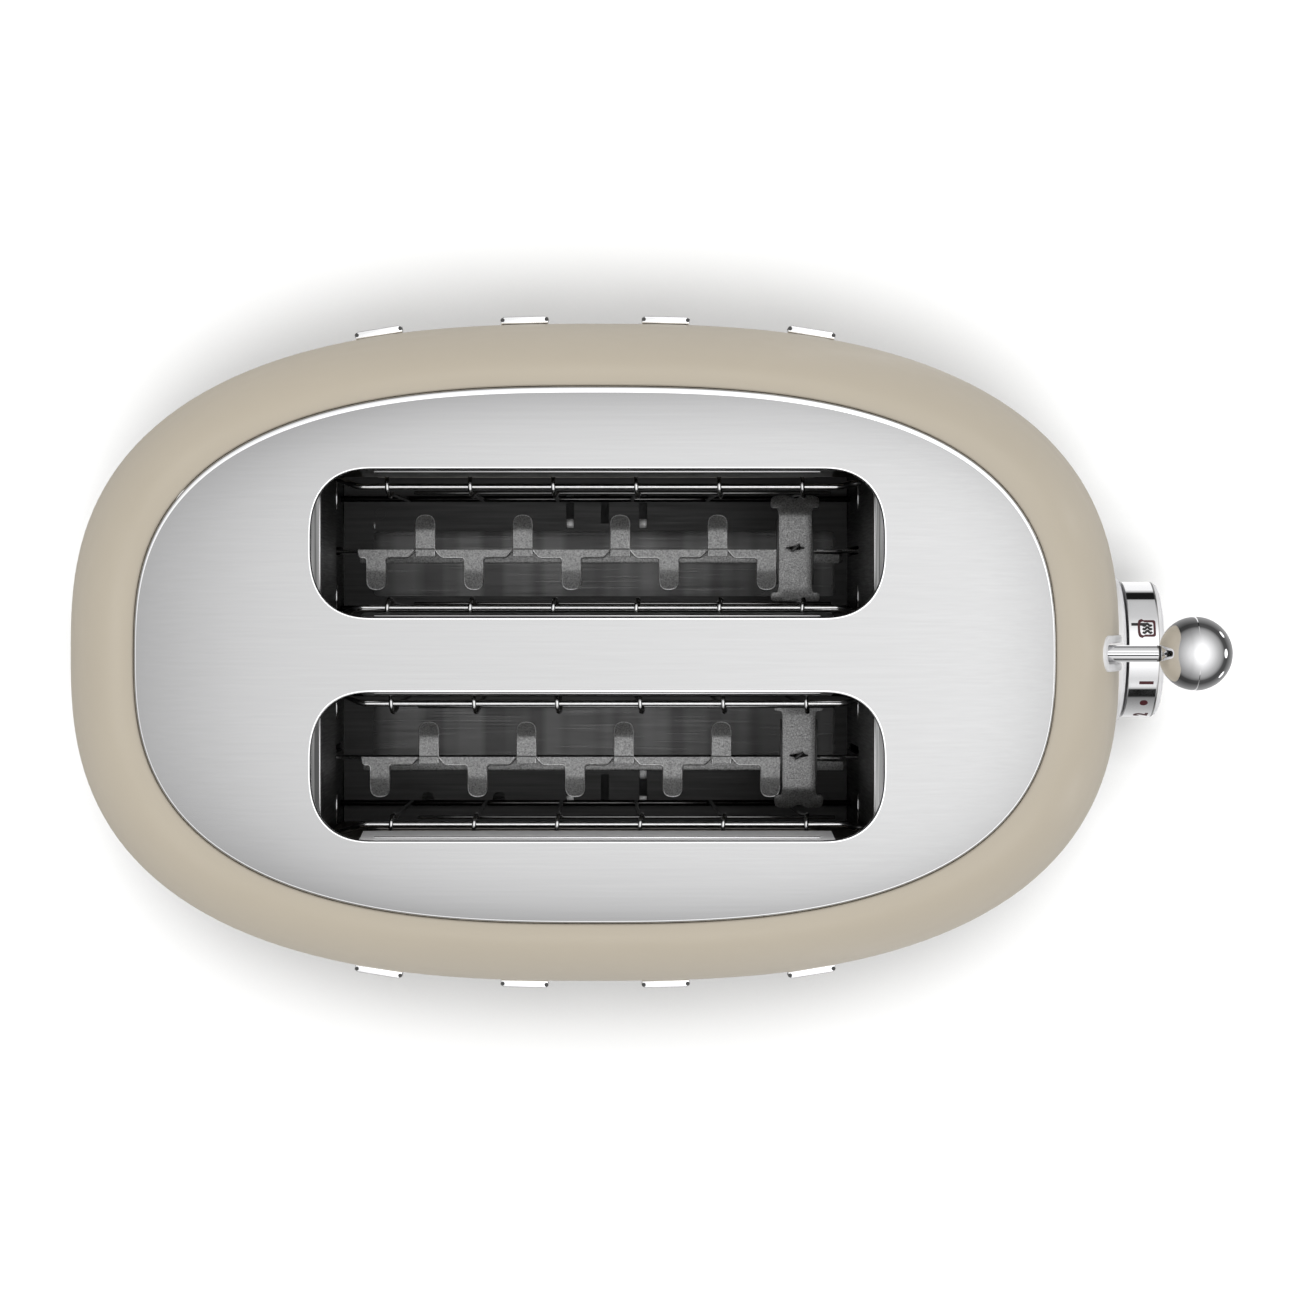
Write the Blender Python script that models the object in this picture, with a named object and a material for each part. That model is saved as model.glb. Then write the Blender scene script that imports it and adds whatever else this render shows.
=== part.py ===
"""Two-slot pop-up toaster with an oval painted shell, for Blender 4.5.

Run it with: blender --background --python part.py
Units are metres and +Z is up. The object stands on z = 0. +X points to the control end, where the lever
and the browning dial are, and +Y to the left of someone who faces that way. Lengths along X are counted
from the middle of the painted body, and the empty named "toaster" carries them all into the part's frame,
whose origin is the middle of the whole footprint.
"""

import math

import bmesh
import bpy
from mathutils import Matrix, Vector

# Body: driving sizes
BODY_LENGTH = 0.310
BODY_WIDTH = 0.195
SHELL_WALL = 0.0012
SIDE_POWER = 2.62
TOP_POWER = 2.70
OVAL_POINTS = 48
GAP = 0.0003
FOOT_HEIGHT = 0.005
TRIM_TOP = 0.015
SHELL_BOTTOM = TRIM_TOP + GAP
SHOULDER_START = 0.106
SHOULDER_RISE = 0.087
SHOULDER_END = math.radians(88)
SHOULDER_INSET_X = 0.0276
SHOULDER_INSET_Y = 0.0233
BASE_TAPER = 0.0055

# Steel top and its two bread slots
TOP_Z = 0.198
TOP_EDGE_Z = 0.1945
TOP_SHEET = 0.001
TOP_EDGE_GAP = 0.0008
SLOT_LENGTH = 0.159
SLOT_WIDTH = 0.0418
SLOT_X = 0.0007
SLOT_CENTRE = 0.0308
SLOT_CORNER_X = 0.018
SLOT_CORNER_Y = 0.0195
SLOT_POWER = 2.5
CHUTE_DEPTH = 0.024

# Underside: feet, the cord's way out and the screws
FOOT_X = 0.104
FOOT_Y = 0.046
GLAND_X = -0.088
GLAND_Y = 0.064
GLAND_HOLE_RADIUS = 0.0053
SCREW_X = 0.062
SCREW_Y = 0.070
SCREW_HOLE_RADIUS = 0.0019

# Bright bars on the long sides
SIDE_BAR_PLACES = (-0.0636, -0.0208, 0.0208, 0.0636)
SIDE_BAR_Z = 0.1225
SIDE_BAR_HALF_LENGTH = 0.007
SIDE_BAR_HALF_HEIGHT = 0.0026
SIDE_BAR_CORNER = 0.0008
SIDE_BAR_PROUD = 0.0022

# Toasting chamber
SHEET = 0.001
END_PLATE_X = 0.0805
END_PLATE_HALF = 0.066
END_PLATE_TOP = TOP_Z - CHUTE_DEPTH - 2 * GAP
BASE_FLOOR = 0.0072
FLOOR_Z = 0.0385
FLOOR_HALF_WIDTH = 0.062
WINDOW_REAR = -0.0707
WINDOW_FRONT = 0.0765
WINDOW_CENTRE = 0.028
WINDOW_HALF_WIDTH = 0.0095
FLOOR_SLIT_PLACES = (-0.0080, 0.0031, 0.0153)
FLOOR_SLIT_HALF_WIDTH = 0.0011
FLOOR_SLIT_NEAR = 0.0415
FLOOR_SLIT_FAR = 0.0505
CARD_OFFSET = 0.024
CARD_SHEET = 0.0008
CARD_BOTTOM = 0.050
CARD_TOP = 0.160
RIBBON_ROWS = 6
RIBBON_WIDTH = 0.002
RIBBON_SHEET = 0.0003
RIBBON_HALF = 0.068

# Bread guards, swinging about their bottom wires
WIRE_RADIUS = 0.0009
BAR_RADIUS = 0.0007
GUARD_OFFSET = 0.0173
GUARD_BOTTOM = 0.048
GUARD_TOP = 0.165
GUARD_BAR_PITCH = 0.0236
GUARD_BARS = 6

# Carriage: everything that the lever moves, drawn at the top of its travel
TRAVEL = 0.062
RAIL_TOP = 0.119
RAIL_HEIGHT = 0.016
RAIL_BOTTOM = RAIL_TOP - RAIL_HEIGHT
RAIL_SHEET = 0.0008
RAIL_LEDGE = 0.0036
FINGER_PITCH = 0.029
FINGER_WIDTH = 0.0055
FINGER_REACH_PLUS = 0.0104
FINGER_REACH_MINUS = 0.0120
FIRST_FINGER = -0.0650
SPREADER_X = 0.0594
SPREADER_LENGTH = 0.0316
SPREADER_WAIST = 0.0100
SPREADER_END = 0.0145
SPREADER_SHEET = 0.0009
BRACKET_X = END_PLATE_X + 0.0035
BRACKET_SHEET = 0.0012
BRACKET_HALF = 0.038
BRACKET_REACH = 0.116
GUIDE_ROD_X = 0.0945
GUIDE_ROD_Y = 0.026
GUIDE_ROD_RADIUS = 0.002
GUIDE_ROD_TOP = 0.1755
TOP_BRACKET_Z = 0.1720
TOP_BRACKET_SHEET = 0.0012
LATCH_DROP = 0.0027
MAGNET_X = 0.1075
MAGNET_Y = -0.026
SPRING_X = 0.0995
SPRING_Y = 0.0120
SPRING_TOP = 0.1717
SPRING_RADIUS = 0.0036
SPRING_WIRE = 0.0005
SPRING_TURNS = 9

# Lever and its slot
LEVER_Z = 0.166
LEVER_RADIUS = 0.0028
BALL_RADIUS = 0.01035
BALL_X = 0.1709
NECK_RADIUS = 0.0016
LEVER_SLOT_WIDTH = 0.0069
LEVER_SLOT_RIM = 0.0017
LEVER_SLOT_TOP = 0.1765
LEVER_SLOT_BOTTOM = 0.0985

# Browning dial
DIAL_Z = 0.054
DIAL_RADIUS = 0.0212
DIAL_BACK = 0.1648
DIAL_FRONT = 0.1764
DIAL_CHAMFER = 0.002
COLLAR_RADIUS = 0.02325
COLLAR_BACK = 0.1460
SHAFT_RADIUS = 0.003
BUTTON_RADIUS = 0.009
BUTTON_RECESS = 0.005

# Crumb tray, pulled out at the end away from the lever
TRAY_HALF_WIDTH = 0.050
TRAY_FLOOR = 0.009
TRAY_FRONT = 0.0785
TRAY_BACK = -0.1335
TRAY_WALL = 0.0009

PAINT = (0.545, 0.475, 0.360)
STEEL = (0.78, 0.78, 0.79)
DARK_STEEL = (0.23, 0.23, 0.23)
BLACK = (0.03, 0.03, 0.03)

ORIGIN_SHIFT = -(BALL_X + BALL_RADIUS - BODY_LENGTH / 2) / 2
PALETTE = {
    "shell_paint": (PAINT, 0.45, 0.0),
    "polished_steel": (STEEL, 0.18, 1.0),
    "chrome": ((0.85, 0.85, 0.86), 0.06, 1.0),
    "chassis_steel": (DARK_STEEL, 0.45, 1.0),
    "carriage_steel": ((0.42, 0.42, 0.41), 0.40, 1.0),
    "guard_wire": (STEEL, 0.20, 1.0),
    "mica": ((0.50, 0.42, 0.30), 0.60, 0.0),
    "heating_ribbon": ((0.50, 0.48, 0.45), 0.35, 1.0),
    "black_plastic": (BLACK, 0.50, 0.0),
    "rubber": ((0.05, 0.05, 0.05), 0.80, 0.0),
    "copper": ((0.72, 0.38, 0.20), 0.35, 1.0),
    "circuit_board": ((0.05, 0.22, 0.10), 0.50, 0.0),
}


# ---- Helpers -------------------------------------------------------------------------------------------


def clear_scene():
    for obj in list(bpy.data.objects):
        bpy.data.objects.remove(obj)


def add_frame():
    """The empty that carries the body's own coordinates into the part's frame."""
    empty = bpy.data.objects.new("toaster", None)
    empty.location = (ORIGIN_SHIFT, 0, 0)
    bpy.context.scene.collection.objects.link(empty)
    return empty


def get_material(name):
    found = bpy.data.materials.get(name)
    if found:
        return found
    colour, roughness, metallic = PALETTE[name]
    made = bpy.data.materials.new(name)
    made.use_nodes = True
    shader = made.node_tree.nodes["Principled BSDF"]
    shader.inputs["Base Color"].default_value = (*colour, 1)
    shader.inputs["Roughness"].default_value = roughness
    shader.inputs["Metallic"].default_value = metallic
    return made


def add_object(name, mesh_data, material, at=(0, 0, 0), smooth=None):
    """An object from (points, faces), with its origin at a point of the body's own coordinates."""
    points, faces = mesh_data
    origin = Vector(at)
    mesh = bpy.data.meshes.new(name)
    mesh.from_pydata([Vector(p) - origin for p in points], [], faces)
    editable = bmesh.new()
    editable.from_mesh(mesh)
    bmesh.ops.recalc_face_normals(editable, faces=editable.faces)
    editable.to_mesh(mesh)
    editable.free()
    if smooth:
        mesh.shade_smooth()
        mesh.set_sharp_from_angle(angle=math.radians(smooth))
    obj = bpy.data.objects.new(name, mesh)
    obj.location = origin
    obj.parent = FRAME
    bpy.context.scene.collection.objects.link(obj)
    if material:
        mesh.materials.append(get_material(material))
    return obj


def add_boolean(target, operation, name, mesh_data):
    """Cuts a shape out of the target, or joins it on, and hides the shape itself."""
    tool = add_object(f"{target.name}_{name}", mesh_data, None)
    tool.hide_render = True
    tool.display_type = "WIRE"
    modifier = target.modifiers.new(name, "BOOLEAN")
    modifier.operation = operation
    modifier.object = tool


def cut(target, name, mesh_data):
    add_boolean(target, "DIFFERENCE", name, mesh_data)


def join(target, name, mesh_data):
    add_boolean(target, "UNION", name, mesh_data)


def mirrored_y(mesh_data):
    points, faces = mesh_data
    return [(p[0], -p[1], p[2]) for p in points], faces


def loft(rings, closed=False):
    """Skins rings of equal counts in order, capped at both ends or closed from last to first."""
    count = len(rings[0])
    points = [Vector(p) for ring in rings for p in ring]
    pairs = [(i, i + 1) for i in range(len(rings) - 1)]
    if closed:
        pairs.append((len(rings) - 1, 0))
    faces = []
    for low, high in pairs:
        for i in range(count):
            j = (i + 1) % count
            faces.append([low * count + i, low * count + j, high * count + j, high * count + i])
    if not closed:
        faces.append(list(range(count))[::-1])
        faces.append([(len(rings) - 1) * count + i for i in range(count)])
    return points, faces


def prism(outline, axis, low, high):
    """An outline of two coordinates pushed along the third, from low to high."""
    place = {
        "X": lambda u, v, w: (w, u, v),
        "Y": lambda u, v, w: (u, w, v),
        "Z": lambda u, v, w: (u, v, w),
    }[axis]
    return loft([[place(u, v, w) for u, v in outline] for w in (low, high)])


def block(low, high):
    x0, y0, z0 = low
    x1, y1, z1 = high
    return prism([(x0, y0), (x1, y0), (x1, y1), (x0, y1)], "Z", z0, z1)


def oval(half_x, half_y, power=SIDE_POWER, count=OVAL_POINTS):
    """A superellipse, as (x, y) points."""
    points = []
    for i in range(count):
        t = 2 * math.pi * i / count
        c, s = math.cos(t), math.sin(t)
        k = (abs(c) ** power + abs(s) ** power) ** (-1 / power)
        points.append((half_x * c * k, half_y * s * k))
    return points


def flat_ring(outline, z):
    return [(x, y, z) for x, y in outline]


def circle(u, v, radius, count=16):
    steps = [2 * math.pi * i / count for i in range(count)]
    return [(u + radius * math.cos(a), v + radius * math.sin(a)) for a in steps]


def turned(profile, count=28):
    """A profile of (x, radius) turned about the X axis through the dial's middle."""
    rings = []
    for x, radius in profile:
        rings.append([(x, y, z) for y, z in circle(0, DIAL_Z, radius, count)])
    return rings


def tube(path, radius, sides=6, roll=0.5):
    """A wire of constant radius along a path, without twist from one end to the other."""
    path = [Vector(p) for p in path]
    across = (path[1] - path[0]).orthogonal()
    rings = []
    for i, point in enumerate(path):
        before = point - path[i - 1] if i else path[1] - path[0]
        after = path[i + 1] - point if i + 1 < len(path) else before
        along = (before.normalized() + after.normalized()).normalized()
        across = (across - along * across.dot(along)).normalized()
        upward = along.cross(across)
        reach = radius / along.dot(after.normalized())
        ring = []
        for k in range(sides):
            angle = 2 * math.pi * (k + roll) / sides
            ring.append(point + (across * math.cos(angle) + upward * math.sin(angle)) * reach)
        rings.append(ring)
    return loft(rings)


def slot_outline(grow=0.0, corner_steps=6):
    """The rounded outline of a bread slot about its own middle, as (x, y) points."""
    half_x = SLOT_LENGTH / 2 + grow
    half_y = SLOT_WIDTH / 2 + grow
    corner_x = SLOT_CORNER_X + grow
    corner_y = SLOT_CORNER_Y + grow
    points = []
    for quarter in range(4):
        sign_x = (1, -1, -1, 1)[quarter]
        sign_y = (1, 1, -1, -1)[quarter]
        steps = range(corner_steps + 1)
        for k in steps if quarter % 2 == 0 else reversed(steps):
            a = math.pi / 2 * k / corner_steps
            c, s = math.cos(a), math.sin(a)
            scale = (c**SLOT_POWER + s**SLOT_POWER) ** (-1 / SLOT_POWER)
            x = half_x - corner_x + corner_x * c * scale
            y = half_y - corner_y + corner_y * s * scale
            points.append((sign_x * x, sign_y * y))
    return points


def slot_prism(side, grow, low, high):
    """An upright prism of the bread slot on one side of the body, grown outwards or not."""
    outline = [(SLOT_X + x, side * SLOT_CENTRE + y) for x, y in slot_outline(grow)]
    return prism(outline, "Z", low, high)


# ---- Outer body ----------------------------------------------------------------------------------------


def shell_section(z, inside=0.0):
    """Half length and half width of the painted shell at a height on its side or shoulder."""
    if z <= SHOULDER_START:
        share = (z - SHELL_BOTTOM) / (SHOULDER_START - SHELL_BOTTOM)
        inset = BASE_TAPER * (1 - math.sin(math.pi / 2 * share)) + inside
        return BODY_LENGTH / 2 - inset, BODY_WIDTH / 2 - inset
    cosine = math.sqrt(max(0.0, 1 - ((z - SHOULDER_START) / (SHOULDER_RISE - inside)) ** 2))
    half_x = BODY_LENGTH / 2 - SHOULDER_INSET_X + (SHOULDER_INSET_X - inside) * cosine
    half_y = BODY_WIDTH / 2 - SHOULDER_INSET_Y + (SHOULDER_INSET_Y - inside) * cosine
    return half_x, half_y


def shell_power(z):
    """The outline grows a little squarer up the shoulder, to meet the steel top."""
    share = max(0.0, (z - SHOULDER_START) / SHOULDER_RISE)
    return SIDE_POWER + (TOP_POWER - SIDE_POWER) * share


def shell_levels(inside, side_steps, shoulder_steps):
    rise = SHOULDER_RISE - inside
    side = [SHELL_BOTTOM + (SHOULDER_START - SHELL_BOTTOM) * i / side_steps for i in range(side_steps)]
    angles = [SHOULDER_END * i / shoulder_steps for i in range(shoulder_steps + 1)]
    return side + [SHOULDER_START + rise * math.sin(angle) for angle in angles]


def shell_wall_rings(inside, side_steps, shoulder_steps):
    levels = shell_levels(inside, side_steps, shoulder_steps)
    return [flat_ring(oval(*shell_section(z, inside), shell_power(z)), z) for z in levels]


def racetrack(width, low, high, count=8):
    """A vertical slot with round ends, as (y, z) points."""
    radius = width / 2
    top = [math.pi * i / count for i in range(count + 1)]
    upper = [(radius * math.cos(a), high - radius + radius * math.sin(a)) for a in top]
    lower = [(-radius * math.cos(a), low + radius - radius * math.sin(a)) for a in top]
    return upper + lower


def make_body_shell():
    outer = shell_wall_rings(0.0, 3, 6)
    inner = shell_wall_rings(SHELL_WALL, 2, 4)[::-1]
    shell = add_object("body_shell", loft(outer + inner, closed=True), "shell_paint", smooth=40)
    rim = LEVER_SLOT_RIM + GAP
    slot = racetrack(LEVER_SLOT_WIDTH + 2 * rim, LEVER_SLOT_BOTTOM - rim, LEVER_SLOT_TOP + rim)
    cut(shell, "lever_slot", prism(slot, "X", 0.120, 0.165))
    collar_hole = circle(0, DIAL_Z, COLLAR_RADIUS + GAP, 32)
    cut(shell, "dial_hole", prism(collar_hole, "X", 0.120, 0.165))


def top_edge():
    """Half length, half width and height of the steel top's outer edge."""
    z = SHOULDER_START + SHOULDER_RISE * math.sin(SHOULDER_END)
    half_x, half_y = shell_section(z)
    return half_x - TOP_EDGE_GAP, half_y - TOP_EDGE_GAP, z


def dome_height(share):
    return TOP_EDGE_Z + (TOP_Z - TOP_EDGE_Z) * (1 - share**2)


def make_top_plate():
    """A gently domed sheet with a skirt all round and a chute under each slot."""
    half_x, half_y, edge_z = top_edge()
    bottom = TOP_Z - CHUTE_DEPTH

    def ring(share, z, inset=0.0):
        return flat_ring(oval(half_x * share - inset, half_y * share - inset, TOP_POWER), z)

    shares = (0.985, 0.8, 0.55, 0.25)
    domed = [ring(share, dome_height(share)) for share in shares]
    skirt = [ring(1, bottom, 0.0012), ring(1, edge_z - 0.006), ring(1, edge_z)]
    rounded = ring(1, edge_z + 0.0008, 0.0004)
    plate = add_object("top_plate", loft([*skirt, rounded, *domed]), "polished_steel", smooth=50)

    under = [ring(share, dome_height(share) - TOP_SHEET, 0.0002) for share in shares]
    under[0] = ring(0.985, edge_z - TOP_SHEET / 2, 0.0002)
    pocket = [ring(0.985, bottom - 0.01, 0.0002), *under]
    hollow = add_object("top_plate_hollow", loft(pocket), None)
    hollow.hide_render = True
    hollow.display_type = "WIRE"
    low, high = bottom - 0.015, TOP_Z + 0.01
    for side, name in ((1, "left"), (-1, "right")):
        cut(hollow, f"sleeve_{name}", slot_prism(side, TOP_SHEET, low, high))
        cut(plate, f"slot_{name}", slot_prism(side, 0.0, low, high))
    modifier = plate.modifiers.new("hollow", "BOOLEAN")
    modifier.operation = "DIFFERENCE"
    modifier.object = hollow
    plate.modifiers.move(len(plate.modifiers) - 1, 0)


def make_base():
    """The moulded bottom and the bright band round it, both notched where the crumb tray slides through."""
    base_x, base_y = shell_section(SHELL_BOTTOM)
    notch = block((-0.170, -TRAY_HALF_WIDTH - 0.002, 0.008), (-0.120, TRAY_HALF_WIDTH + 0.002, 0.030))
    band = [
        flat_ring(oval(base_x - 0.0015, base_y - 0.0015), FOOT_HEIGHT),
        flat_ring(oval(base_x + 0.0005, base_y + 0.0005), FOOT_HEIGHT + 0.002),
        flat_ring(oval(base_x + 0.0005, base_y + 0.0005), TRIM_TOP - 0.001),
        flat_ring(oval(base_x - 0.0005, base_y - 0.0005), TRIM_TOP),
        flat_ring(oval(base_x - 0.0030, base_y - 0.0030), TRIM_TOP),
        flat_ring(oval(base_x - 0.0030, base_y - 0.0030), FOOT_HEIGHT),
    ]
    trim = add_object("base_trim", loft(band, closed=True), "chrome", smooth=40)
    cut(trim, "tray_notch", notch)

    outline = oval(base_x - 0.0033, base_y - 0.0033)
    pan = add_object("base_pan", prism(outline, "Z", FOOT_HEIGHT, TRIM_TOP), "black_plastic", smooth=40)
    hollow = oval(base_x - 0.0058, base_y - 0.0058)
    cut(pan, "hollow", prism(hollow, "Z", BASE_FLOOR, TRIM_TOP + 0.01))
    cut(pan, "tray_notch", notch)
    cut(pan, "gland_hole", prism(circle(GLAND_X, GLAND_Y, GLAND_HOLE_RADIUS), "Z", 0, 0.02))
    for name, (x, y) in corners(SCREW_X, SCREW_Y):
        hole = circle(x, y, SCREW_HOLE_RADIUS, 10)
        cut(pan, f"screw_hole_{name}", prism(hole, "Z", 0, 0.02))


def corners(x, y):
    """The four corners of a rectangle about the body's middle, each with its name."""
    names = ("front_left", "front_right", "rear_left", "rear_right")
    return list(zip(names, [(sx * x, sy * y) for sx in (1, -1) for sy in (1, -1)]))


def make_feet_and_screws():
    for name, (x, y) in corners(FOOT_X, FOOT_Y):
        rings = [flat_ring(circle(x, y, r, 20), z) for r, z in ((0.0075, 0), (0.009, FOOT_HEIGHT - GAP))]
        add_object(f"foot_{name}", loft(rings), "rubber", at=(x, y, 0), smooth=40)
    for name, (x, y) in corners(SCREW_X, SCREW_Y):
        head_top = FOOT_HEIGHT - GAP
        profile = ((0.0022, head_top - 0.0016), (0.0032, head_top), (0.0015, head_top), (0.0015, 0.0105))
        rings = [flat_ring(circle(x, y, r, 10), z) for r, z in profile]
        add_object(f"base_screw_{name}", loft(rings), "chassis_steel", at=(x, y, 0))


def make_cord_gland():
    outer = [(0.0080, 0.0026), (0.0085, 0.0047), (0.0050, 0.0047), (0.0050, 0.0125)]
    inner = [(0.0036, 0.0125), (0.0036, 0.0026)]
    rings = [flat_ring(circle(GLAND_X, GLAND_Y, r), z) for r, z in outer + inner]
    gland = loft(rings, closed=True)
    add_object("cord_gland", gland, "rubber", at=(GLAND_X, GLAND_Y, 0), smooth=40)


def bar_outline():
    """A side bar's rectangle with cut corners, as (x, z) points about its own middle."""
    length, height, corner = SIDE_BAR_HALF_LENGTH, SIDE_BAR_HALF_HEIGHT, SIDE_BAR_CORNER
    quarter = [(length, height - corner), (length - corner, height)]
    top = quarter + [(-x, z) for x, z in reversed(quarter)]
    return top + [(-x, -z) for x, z in top]


def make_side_bars():
    """Four plain bright bars on each long side, standing a little proud of the paint."""
    half_x, half_y = shell_section(SIDE_BAR_Z)
    for side, side_name in ((1, "left"), (-1, "right")):
        for number, x in enumerate(SIDE_BAR_PLACES, 1):
            y = half_y * (1 - (abs(x) / half_x) ** SIDE_POWER) ** (1 / SIDE_POWER)
            power = SIDE_POWER - 1
            slope = half_y / half_x * (abs(x) / half_x) ** power / (y / half_y) ** power
            turn = Matrix.Rotation(-math.atan(math.copysign(slope, x)), 3, "Z")
            points, faces = prism(bar_outline(), "Y", 2 * GAP, SIDE_BAR_PROUD)
            bar = ([turn @ p + Vector((x, y, SIDE_BAR_Z)) for p in points], faces)
            name = f"side_bar_{side_name}_{number}"
            add_object(name, bar if side > 0 else mirrored_y(bar), "chrome")


# ---- Toasting chamber ----------------------------------------------------------------------------------


def guard_places():
    """Names and Y positions of the four guards; the outward sign points away from the slot's middle."""
    return [
        ("left_outer", SLOT_CENTRE + GUARD_OFFSET, 1),
        ("left_inner", SLOT_CENTRE - GUARD_OFFSET, -1),
        ("right_inner", -SLOT_CENTRE + GUARD_OFFSET, 1),
        ("right_outer", -SLOT_CENTRE - GUARD_OFFSET, -1),
    ]


def make_end_plates():
    """The two inner end walls: slits that the rails slide in, holes for the guards' bottom wires."""
    for sign, name in ((1, "front"), (-1, "rear")):
        low, high = sorted((sign * END_PLATE_X, sign * (END_PLATE_X + SHEET)))
        half, foot = END_PLATE_HALF, BASE_FLOOR + GAP
        outline = [
            (-half, foot),
            (half, foot),
            (half, END_PLATE_TOP - 0.008),
            (half - 0.008, END_PLATE_TOP),
            (-half + 0.008, END_PLATE_TOP),
            (-half, END_PLATE_TOP - 0.008),
        ]
        plate = add_object(f"end_plate_{name}", prism(outline, "X", low, high), "chassis_steel")
        near, far = low - 0.004, high + 0.004
        for side, side_name in ((1, "left"), (-1, "right")):
            y = side * SLOT_CENTRE
            slit_low = (near, y - 0.0013, RAIL_TOP - TRAVEL - 0.018)
            slit_high = (far, y + 0.0013, RAIL_TOP + 0.004)
            cut(plate, f"rail_slit_{side_name}", block(slit_low, slit_high))
        for guard, y, _ in guard_places():
            cut(plate, f"pivot_{guard}", prism(circle(y, GUARD_BOTTOM, 0.0014, 10), "X", near, far))
        if name == "rear":
            half_way = TRAY_HALF_WIDTH + 0.002
            cut(plate, "tray_way", block((near, -half_way, 0.001), (far, half_way, 0.018)))


def make_chamber_sheets():
    """The dark floor with its two crumb windows, and the reflectors outside the heaters."""
    reach = END_PLATE_X - GAP
    low = (-reach, -FLOOR_HALF_WIDTH, FLOOR_Z)
    high = (reach, FLOOR_HALF_WIDTH, FLOOR_Z + SHEET)
    floor = add_object("chamber_floor", block(low, high), "chassis_steel")
    for side, name in ((1, "left"), (-1, "right")):
        y = side * WINDOW_CENTRE
        window = block(
            (WINDOW_REAR, y - WINDOW_HALF_WIDTH, FLOOR_Z - 0.01),
            (WINDOW_FRONT, y + WINDOW_HALF_WIDTH, FLOOR_Z + 0.01),
        )
        cut(floor, f"window_{name}", window)
        for number, x in enumerate(FLOOR_SLIT_PLACES):
            y0, y1 = sorted((side * FLOOR_SLIT_NEAR, side * FLOOR_SLIT_FAR))
            slit_low = (x - FLOOR_SLIT_HALF_WIDTH, y0, FLOOR_Z - 0.01)
            slit_high = (x + FLOOR_SLIT_HALF_WIDTH, y1, FLOOR_Z + 0.01)
            cut(floor, f"slit_{name}_{number}", block(slit_low, slit_high))
        face = side * (FLOOR_HALF_WIDTH + GAP)
        y0, y1 = sorted((face, face + side * 0.0008))
        reflector = block((-reach, y0, 0.020), (reach, y1, END_PLATE_TOP - 0.008))
        add_object(f"reflector_{name}", reflector, "chassis_steel")


def ribbon_strip():
    """The folded ribbon's outline as one closed list of (x, z) points."""
    half, width = RIBBON_HALF, RIBBON_WIDTH
    pitch = (CARD_TOP - CARD_BOTTOM - 0.024) / (RIBBON_ROWS - 1)
    first = CARD_BOTTOM + 0.012
    path = []
    for row in range(RIBBON_ROWS):
        sign = 1 if row % 2 == 0 else -1
        z = first + row * pitch
        path += [(-sign * half, z), (sign * half, z)]
    left, right = [], []
    for i, (x, z) in enumerate(path):
        before = path[i - 1] if i else (2 * x - path[1][0], z)
        after = path[i + 1] if i + 1 < len(path) else (2 * x - path[i - 1][0], z)
        ins = (math.copysign(1, x - before[0]) if x != before[0] else 0, 1 if z != before[1] else 0)
        outs = (math.copysign(1, after[0] - x) if after[0] != x else 0, 1 if after[1] != z else 0)
        side = (-(ins[1] + outs[1]), ins[0] + outs[0])
        if ins == outs:
            side = (side[0] / 2, side[1] / 2)
        left.append((x + side[0] * width / 2, z + side[1] * width / 2))
        right.append((x - side[0] * width / 2, z - side[1] * width / 2))
    return left + right[::-1]


def make_heaters():
    """Four mica cards, each with its ribbon on the face towards the bread."""
    reach = END_PLATE_X - GAP
    for slot_side, slot_name in ((1, "left"), (-1, "right")):
        for out, name in ((1, "outer"), (-1, "inner")):
            y = slot_side * (SLOT_CENTRE + out * CARD_OFFSET)
            to_bread = -slot_side * out
            card = block((-reach, y - CARD_SHEET / 2, CARD_BOTTOM), (reach, y + CARD_SHEET / 2, CARD_TOP))
            add_object(f"heater_card_{slot_name}_{name}", card, "mica")
            face = y + to_bread * (CARD_SHEET / 2 + GAP)
            y0, y1 = sorted((face, face + to_bread * RIBBON_SHEET))
            ribbon = prism(ribbon_strip(), "Y", y0, y1)
            add_object(f"heating_ribbon_{slot_name}_{name}", ribbon, "heating_ribbon")


def guard_bar_places():
    first = -(GUARD_BARS - 1) / 2 * GUARD_BAR_PITCH
    return [first + i * GUARD_BAR_PITCH for i in range(GUARD_BARS)]


def make_guards():
    """Wire fences by the bread: a bottom wire that turns in the end plates, a top wire, hooked bars."""
    pivot_reach = END_PLATE_X + 0.0025
    for name, y, out in guard_places():
        top = [
            (-0.0785, y + out * 0.0040, GUARD_TOP - 0.001),
            (-0.0730, y + out * 0.0040, GUARD_TOP - 0.0005),
            (-0.0673, y, GUARD_TOP),
            (0.0697, y, GUARD_TOP),
            (0.0740, y + out * 0.0040, GUARD_TOP - 0.0005),
            (0.0785, y + out * 0.0040, GUARD_TOP - 0.001),
        ]
        bottom = [(-pivot_reach, y, GUARD_BOTTOM), (pivot_reach, y, GUARD_BOTTOM)]
        guard = add_object(
            f"guard_{name}", tube(top, WIRE_RADIUS), "guard_wire", at=(0, y, GUARD_BOTTOM), smooth=50
        )
        for number, x in enumerate(guard_bar_places()):
            hook = [
                (x, y, GUARD_BOTTOM - 0.00015),
                (x, y - out * 0.0007, GUARD_TOP - 0.0013),
                (x, y - out * 0.00025, GUARD_TOP + 0.00065),
                (x, y + out * 0.0012, GUARD_TOP + 0.0011),
                (x, y + out * 0.0026, GUARD_TOP + 0.0004),
            ]
            join(guard, f"bar_{number}", tube(hook, BAR_RADIUS, sides=5, roll=0.37))
        join(guard, "bottom_wire", tube(bottom, WIRE_RADIUS))


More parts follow.
